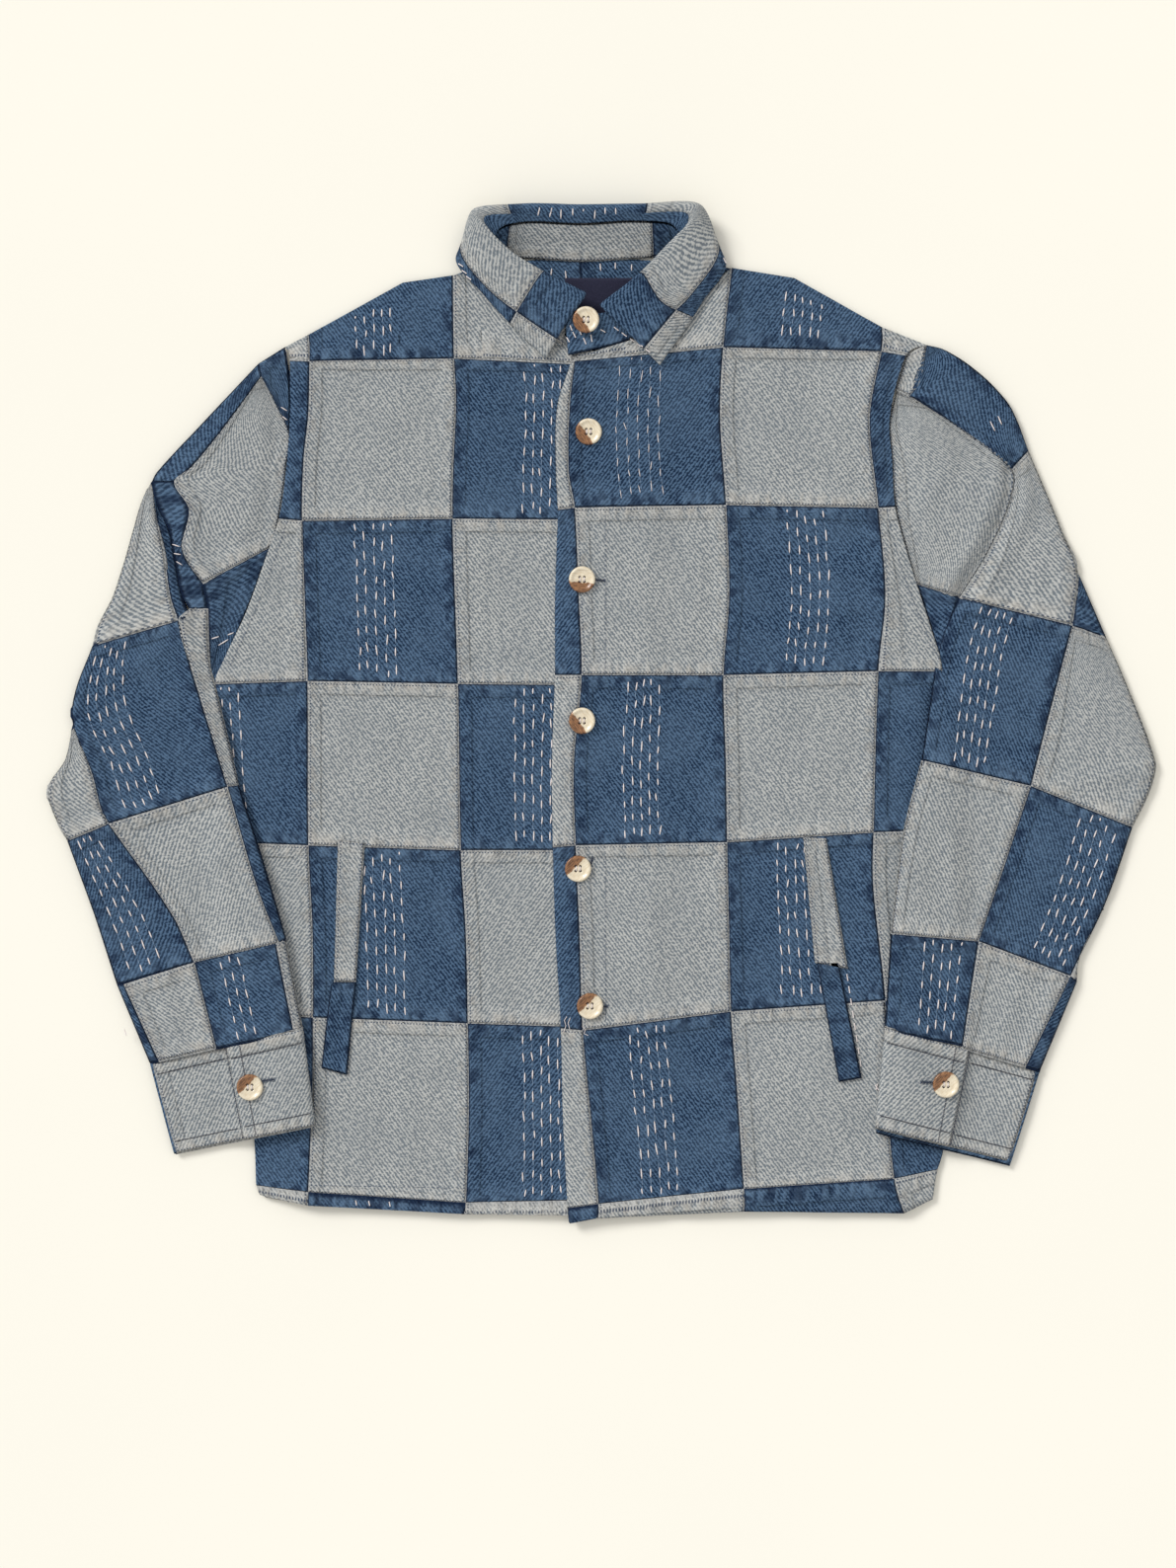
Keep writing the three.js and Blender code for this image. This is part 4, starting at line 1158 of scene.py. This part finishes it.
fallMiddle = [(-26, 297, 13.5), (-59, 313, 14.5), (-84, 329, 15), (-102, 357, 14), (-98, 377, 12),
              (-60, 384, 10), (-16, 383.5, 10), (27, 384, 10), (74.5, 383, 12), (82, 360, 14),
              (60, 324, 15), (45, 312, 14.5), (20, 288, 13.5)]
fallEdge = [(-42.4, 268.9, 8.2), (-69.4, 295.9, 8), (-90, 319, 8), (-109.9, 344.6, 7), (-90, 366, 1.4),
            (-60, 364, 1.4), (-16, 362, 1.4), (27, 364, 1.4), (68, 366, 1.4), (93.4, 340.9, 7),
            (76, 313, 8), (68.6, 300.4, 8), (43.9, 264.4, 8.2)]


def roundedCurve(points):
    # centripetal curve through points, t from 0 to their last index
    ends = [[2 * p - q for p, q in zip(points[0], points[1])], *points,
            [2 * p - q for p, q in zip(points[-1], points[-2])]]

    def at(t):
        k = min(len(points) - 2, int(t))
        w = t - k
        a, b, c, d = ends[k:k + 4]
        steps = [max(1e-4, math.dist(p, q) ** 0.5) for p, q in ((a, b), (b, c), (c, d))]
        out = []
        for p, q, r, s in zip(a, b, c, d):
            leave = (q - p) / steps[0] - (r - p) / (steps[0] + steps[1]) + (r - q) / steps[1]
            reach = (r - q) / steps[1] - (s - q) / (steps[1] + steps[2]) + (s - r) / steps[2]
            leave, reach = leave * steps[1], reach * steps[1]
            out.append(q + leave * w + (-3 * q + 3 * r - 2 * leave - reach) * w * w
                       + (2 * q - 2 * r + leave + reach) * w ** 3)
        return out
    return at


def collarSurface(lines):
    # a smooth surface across several lines, with u along them and v from the first to the last
    curves = [roundedCurve(line) for line in lines]
    return lambda u, v: roundedCurve([curve(u) for curve in curves])(v * (len(lines) - 1))


# where the fall's inner part and its outer strip of patches begin, and how much higher than the stand
collarLook = {"inner": 0.18, "strip": 0.83, "rise": 1.2, "thickness": 2.4, "stitchRise": 1.25}


def makeCollar():
    look = collarLook
    stand = collarSurface([neckSeam, [mixPoint(p, q, 0.06) for p, q in zip(standTop, neckSeam)]])
    underRoll = [(x, y, z + look["rise"]) for x, y, z in standTop[:-1]]
    fall = collarSurface([underRoll, rollLine, fallMiddle, fallEdge])

    def part(surface, lowU, highU, lowV, highV, lift=0.0):
        def place(u, v):
            x, y, z = surface(mix(lowU, highU, u), mix(lowV, highV, v))
            return x, y, z + lift + 0.35 * noise.noise(Vector((x * 0.06, y * 0.06, z * 0.06)))
        middleU, middleV = (lowU + highU) / 2, (lowV + highV) / 2
        steps = 8
        run = [surface(mix(lowU, highU, k / steps), middleV) for k in range(steps + 1)]
        rise = [surface(middleU, mix(lowV, highV, k / steps)) for k in range(steps + 1)]
        size = [sum(math.dist(a, b) for a, b in zip(line, line[1:])) for line in (run, rise)]
        return place, size

    def lay(name, surface, parts, node, stitched):
        # parts: (low u, high u, low v, high v, shade, seams); stitched: the same bounds, rows, spacing
        cloth = Cloth(name)
        threads = []
        for lowU, highU, lowV, highV, shade, seams in parts:
            place, size = part(surface, lowU, highU, lowV, highV)
            counts = (max(3, round((highU - lowU) * 14)), max(3, round((highV - lowV) * 40)))
            cloth.patch(place, shade, size, seams, counts, lift=False)
        for lowU, highU, lowV, highV, rows, spacing in stitched:
            place, size = part(surface, lowU, highU, lowV, highV, look["stitchRise"])
            runningStitches(threads, place, size[1], rowsAt(0.5, 0.5, size[0], rows, spacing))
        bmesh.ops.remove_doubles(cloth.bm, verts=cloth.bm.verts, dist=0.05 * mm)
        bmesh.ops.recalc_face_normals(cloth.bm, faces=cloth.bm.faces)
        piece = cloth.finish(look["thickness"], 0.0, 0.05)
        settle(piece, node)
        if threads:
            settle(newStitches(f"{name}Stitches", threads, stitchThread))
        return piece

    fallParts = []
    for lowU, highU, shade in ((0, 1, blue), (1, 4.75, pale), (4.75, 7.15, blue), (7.15, 11, pale),
                               (11, 12, blue)):
        inner = (lowU > 0, highU < 12)
        other = pale if shade == blue else blue
        fallParts.append((lowU, highU, look["inner"], look["strip"], shade, (*inner, 0, 1)))
        fallParts.append((lowU, highU, look["strip"], 1, other, (*inner, 1, 0)))
    for lowU, highU, shade in ((0, 1, blue), (1, 3, pale), (3, 4.75, blue), (4.75, 7.15, blue),
                               (7.15, 9.2, blue), (9.2, 11, pale), (11, 12, blue)):
        fallParts.append((lowU, highU, 0, look["inner"], shade, (0, 0, 0, 0)))
    collar = lay("collarCloth", fall, fallParts, "collar", [(4.9, 7.0, 0.02, 0.4, 8, 8)])
    standParts = [(lowU, highU, 0, 1, shade, (lowU > 0, highU < 13, 1, 0)) for lowU, highU, shade in (
        (0, 3, pale), (3, 4.55, blue), (4.55, 7.35, pale), (7.35, 9.3, blue), (9.3, 11.4, pale),
        (11.4, 13, blue))]
    return collar, lay("collarStandCloth", stand, standParts, "collar_stand", [])


collar, collarStand = makeCollar()
print("collar made")


# each welt's patches as (shade, left line, right line), both lines from the bottom up
weltParts = {
    "right": [(pale, [(-202.9, -202.9), (-199.9, -94.9)], [(-186.4, -202.9), (-179.6, -97.1)]),
              (blue, [(-212.6, -268.1), (-205.1, -205.1), (-202.9, -202.9)],
               [(-193.1, -273.4), (-186.4, -205.1), (-186.4, -202.9)])],
    "left": [(pale, [(161.6, -188.6), (152.6, -93.4)], [(186.4, -193.1), (169.9, -94.1)]),
             (blue, [(179.6, -278.6), (163.1, -188.6)], [(196.9, -275.6), (179.6, -188.6)])],
}
welt = {"rise": 1.7, "thickness": 1.5, "spacing": 1.5}  # in mm; rise is over the front's face


def makeWelt(which):
    def height(x, y):
        return frontTop(which, x, y) + welt["rise"]

    cloth = Cloth(f"{which}WeltCloth", welt["spacing"])
    for shade, left, right in weltParts[which]:
        place, size = betweenRails(railThrough(left), railThrough(right), 0, 1, height)
        cloth.patch(place, shade, size, lift=False)
    piece = cloth.finish(welt["thickness"])
    settle(piece, f"{which}_pocket_welt")
    return piece


rightWelt = makeWelt("right")
leftWelt = makeWelt("left")
print("welts made")


# in millimetres: where the patch in the neck ends below and above, its half width, how round its lower
# corners are, its height at the edge and how much higher the rest of it is
neckPatchLook = {"low": 296, "high": 331, "middle": -1, "half": 27, "corner": 4, "level": 2.1,
                 "swell": 0.6, "edge": 3, "thickness": 0.6}


def makeNeckPatch():
    look = neckPatchLook
    low, high, half, corner = (look[key] for key in ("low", "high", "half", "corner"))
    bm = bmesh.new()
    bmesh.ops.create_grid(bm, x_segments=24, y_segments=16, size=0.5)
    for vert in bm.verts:
        u, v = vert.co.x * 2, vert.co.y + 0.5
        y = mix(low, high, v)
        trim = corner * (1 - math.sqrt(max(0.0, 1 - max(0.0, 1 - (y - low) / corner) ** 2)))
        x = u * (half - trim)
        inside = min(half - abs(u) * half, v * (high - low), look["edge"]) / look["edge"]
        ripple = 0.3 * noise.noise(Vector((x * 0.2, y * 0.2, 0)))
        z = look["level"] + look["swell"] * ease(inside) + ripple
        vert.co = Vector((x + look["middle"], y, z)) * mm
    piece = newObject("neckPatchCloth", bm, [navyCloth])
    thicken(piece, look["thickness"])
    settle(piece, "neck_patch")
    return piece


neckPatch = makeNeckPatch()
print("neck patch made")


# x, y, height of the underside, and the turn that the brown of the horn has
buttonPlaces = {
    "button_1": (-12, 298, 13.9, 215), "button_2": (-10, 214, 7.9, 215),
    "button_3": (-15, 102, 7.9, 265), "button_4": (-15, -5, 7.9, 215),
    "button_5": (-18, -117, 7.9, 135), "button_6": (-9, -221, 7.9, 135),
    "right_cuff_button": (-266, -282, 14.0, 135), "left_cuff_button": (260, -280, 13.7, 135),
}


# the turned face as (radius, share of the thickness): a dished middle, a rim and its rounding
buttonProfile = throughPoints([(0, 0.60), (5.2, 0.60), (6.6, 0.70), (8.0, 0.97), (8.8, 1), (9.5, 0.88),
                               (10, 0.5)])
buttonRings = [0.45 * k for k in range(1, 18)] + [8.0, 8.4, 8.8, 9.2, 9.5, 9.75, 9.92, 10.0]


def widen(bm, edges, scale):
    # one more ring of faces round the given edges; gives its new edges and points
    made = bmesh.ops.extrude_edge_only(bm, edges=edges)["geom"]
    verts = [v for v in made if isinstance(v, bmesh.types.BMVert)]
    for vert in verts:
        vert.co.x *= scale
        vert.co.y *= scale
    return [e for e in made if isinstance(e, bmesh.types.BMEdge)], verts


def makeButton(name, x, y, base, turn):
    bm = bmesh.new()
    layer, faceLayer = (bm.loops.layers.uv.new(label) for label in ("button", "face"))
    bmesh.ops.create_circle(bm, segments=72, radius=buttonRings[0], cap_ends=True)
    edges = list(bm.edges)
    for inner, outer in zip(buttonRings, buttonRings[1:]):
        edges, _ = widen(bm, edges, outer / inner)
    for vert in bm.verts:
        r = math.hypot(vert.co.x, vert.co.y)
        z = button["thickness"] * buttonProfile(min(r, button["radius"]))[0]
        for side in (-button["spacing"], button["spacing"]):
            for end in (-button["spacing"], button["spacing"]):
                gap = math.hypot(vert.co.x - side, vert.co.y - end)
                z -= 1.6 * (1 - ease((gap - button["hole"] + 0.45) / 0.5))
        vert.co.z = z
    # the edge goes in towards a flat underside
    for scale, level in ((0.99, 0.25), (0.8, 0.0)):
        edges, verts = widen(bm, edges, scale)
        for vert in verts:
            vert.co.z = button["thickness"] * level
    bmesh.ops.holes_fill(bm, edges=edges, sides=0)
    angle = math.radians(turn)
    cosine, sine = math.cos(angle), math.sin(angle)
    for face in bm.faces:
        for loop in face.loops:
            u, v = loop.vert.co.x, loop.vert.co.y
            loop[faceLayer].uv = (u, v)
            loop[layer].uv = (u * cosine + v * sine, v * cosine - u * sine)
    bmesh.ops.recalc_face_normals(bm, faces=bm.faces)
    tilt = Matrix.Rotation(math.radians(button["tilt"]), 4, "X")
    placed = Matrix.Scale(mm, 4) @ Matrix.Translation((x, y, base)) @ tilt
    bmesh.ops.transform(bm, verts=bm.verts, matrix=placed)
    settle(newObject(name + "Horn", bm, [hornButton]), name)


def buttonThreads():
    # two threads side by side through each pair of holes, bowed over the bar between them
    lines = []
    apart = button["spacing"]
    for x, y, base, _ in buttonPlaces.values():
        top = base + button["thickness"] * buttonProfile(0)[0]
        for side in (-1, 1):
            for offset in (-0.22, 0.22):
                lines.append([(x + side * apart * 0.85 + offset, y + k * apart,
                               top + 0.45 - abs(k) ** 3 * 1.6)
                              for k in (-1.0, -0.8, -0.4, 0, 0.4, 0.8, 1.0)])
    return lines


for name, values in buttonPlaces.items():
    makeButton(name, *values)
buttonSewing = layThreads("buttonSewing", buttonThreads(), button["thread"], stitchThread)
settle(buttonSewing)
print("buttons made")


def topOf(pieces):
    # the height of the uppermost cloth at a spot
    graph = bpy.context.evaluated_depsgraph_get()
    trees = [BVHTree.FromObject(piece, graph) for piece in pieces]

    def height(x, y):
        hits = [tree.ray_cast(Vector((x * mm, y * mm, 0.2)), Vector((0, 0, -1)))[0] for tree in trees]
        return max((hit.z / mm for hit in hits if hit), default=0.0)
    return height


# buttonholes as (start, end, width); single stitches and loose ends as lists of (x, y)
buttonholes = [((-6, 101.6), (2.4, 101.2), 2.6), ((-9, -115), (-6.6, -108), 2.4),
               ((0, -222), (5, -221), 2.4), ((-258, -277.5), (-247, -275.8), 2.8),
               ((240.6, -278), (251, -278.6), 2.8)]
singleStitches = [
    [(-27, 285.5), (-24.6, 281.4)], [(-22, 289), (-19.8, 284.8)], [(-17.4, 291.4), (-15.6, 287)],
    [(-14, 284.6), (-12, 280)], [(-8.4, 287), (-7.4, 281.8)], [(-24, 294), (-22.6, 290)],
    [(-1, 291), (2.6, 289)], [(9, 293), (12.6, 290.4)], [(15, 288.8), (18.8, 286)],
    [(21.2, 284.6), (24.8, 282)], [(27, 280.4), (30.8, 277.8)], [(33, 276), (36.4, 273.6)],
    [(-108.6, 341), (-105, 338.6)], [(-106, 336), (-102.4, 333.4)], [(-102.8, 331.6), (-99, 328.8)],
    [(92, 345.4), (94, 341.6)], [(-186.5, -368.4), (-185.9, -372)],
    [(-176.7, -368.8), (-175.9, -372.4)], [(-161.1, -369.4), (-160.4, -373)],
    [(207, -281), (209.6, -284.6)], [(208.8, -280), (207.8, -284.6)],
]
# the sewing beside the left pocket's lower welt
besideWelt = (185.8, -197), (197, -271)
singleStitches += [[mixPoint(*besideWelt, k / 8), mixPoint(*besideWelt, k / 8 + 0.07)] for k in range(8)]
looseEnds = [
    [(-26.5, -229), (-28.4, -232), (-27.2, -236), (-29, -241)],
    [(-24, -230), (-25.6, -234), (-24.4, -238.6)],
    [(-14.8, -236.6), (-12.4, -239), (-13.6, -242), (-10.4, -243.4)],
]
threadWidths = {"slit": 0.7, "wrap": 0.6, "single": 0.85, "end": 0.45, "turn": 0.55}  # in millimetres


def wrapped(start, end, width):
    # one thread that goes round a slit in close turns
    a, b = Vector(start), Vector(end)
    away = (b - a).orthogonal().normalized() * width * 0.5
    turns = max(4, int((b - a).length / threadWidths["turn"]))
    points = []
    for k in range(turns + 1):
        spot = a.lerp(b, k / turns)
        points.append(spot + away * (1 if k % 2 else -1) * dice.uniform(0.85, 1.1))
    return points


def makeSmallThings():
    height = topOf([rightFront, leftFront, rightCuff, leftCuff, collarStand, collar])

    def laid(points, lift):
        # a thread that hangs past the cloth's edge keeps the height of the edge
        levels = [height(x, y) for x, y in points]
        edge = min((level for level in levels if level > 0.5), default=0.5)
        return [(x, y, max(level, edge) + lift) for (x, y), level in zip(points, levels)]

    def spread(points, lift):
        # more points between the given ones, so that the thread follows the cloth
        line = []
        for a, b in zip(points, points[1:]):
            line += [mixPoint(a, b, k / 4) for k in range(4)]
        return laid(line + [points[-1]], lift)

    slits = [spread([start, end], 0.1) for start, end, _ in buttonholes]
    wraps = [laid(wrapped(*hole), 0.35) for hole in buttonholes]
    singles = [spread(line, 0.3) for line in singleStitches]
    ends = [spread(line, 0.4) for line in looseEnds]
    for name, lines, width, material in (
            ("buttonholeSlits", slits, threadWidths["slit"], navyCloth),
            ("buttonholeThreads", wraps, threadWidths["wrap"], blueThread),
            ("singleStitches", singles, threadWidths["single"], stitchThread),
            ("looseEnds", ends, threadWidths["end"], stitchThread)):
        settle(layThreads(name, lines, width, material))


makeSmallThings()
print("small things laid")


# the view's height and middle are in millimetres, the lens's length and sensor too
studio = {"floor": (0.955, 0.92, 0.815, 1), "floorSize": 6.0, "key": 2.0, "keySpread": 22,
          "keyFrom": (-2.0, 1.7, 1.7), "keyToward": (2.0, -1.7, -1.75), "sky": 0.70,
          "viewHeight": 1191, "centre": (-10.5, -52.9), "lens": 85, "sensor": 36}


def makeStudio():
    bm = bmesh.new()
    bmesh.ops.create_grid(bm, x_segments=1, y_segments=1, size=studio["floorSize"])
    material, tree, shader = startMaterial("paleFloor", 0.95)
    grain = noiseOf(tree, tree.nodes.new("ShaderNodeTexCoord").outputs["Object"], 3, 2)
    darker = [c * 0.985 for c in studio["floor"]]
    tone = blendColour(tree, fadeMap(tree, grain, 0.2, 0.8), studio["floor"], darker)
    tree.links.new(tone, shader.inputs["Base Color"])
    floor = newObject("floor", bm, [material], smooth=False)

    world = bpy.data.worlds.new("studioSky")
    world.use_nodes = True
    sky = world.node_tree.nodes["Background"]
    sky.inputs["Color"].default_value = (1.0, 1.0, 1.0, 1)
    sky.inputs["Strength"].default_value = studio["sky"]
    bpy.context.scene.world = world

    key = bpy.data.lights.new("keyLight", "SUN")
    key.energy = studio["key"]
    key.angle = math.radians(studio["keySpread"])
    lamp = bpy.data.objects.new("keyLight", key)
    lamp.location = studio["keyFrom"]
    lamp.rotation_euler = Vector(studio["keyToward"]).to_track_quat("-Z", "Y").to_euler()
    bpy.context.collection.objects.link(lamp)

    camera = bpy.data.cameras.new("camera")
    camera.lens = studio["lens"]
    camera.sensor_width = studio["sensor"]
    seen = bpy.data.objects.new("camera", camera)
    distance = studio["viewHeight"] * mm * studio["lens"] / studio["sensor"]
    seen.location = (studio["centre"][0] * mm, studio["centre"][1] * mm, distance)
    bpy.context.collection.objects.link(seen)
    bpy.context.scene.camera = seen
    bpy.context.scene.view_settings.view_transform = "Standard"


makeStudio()
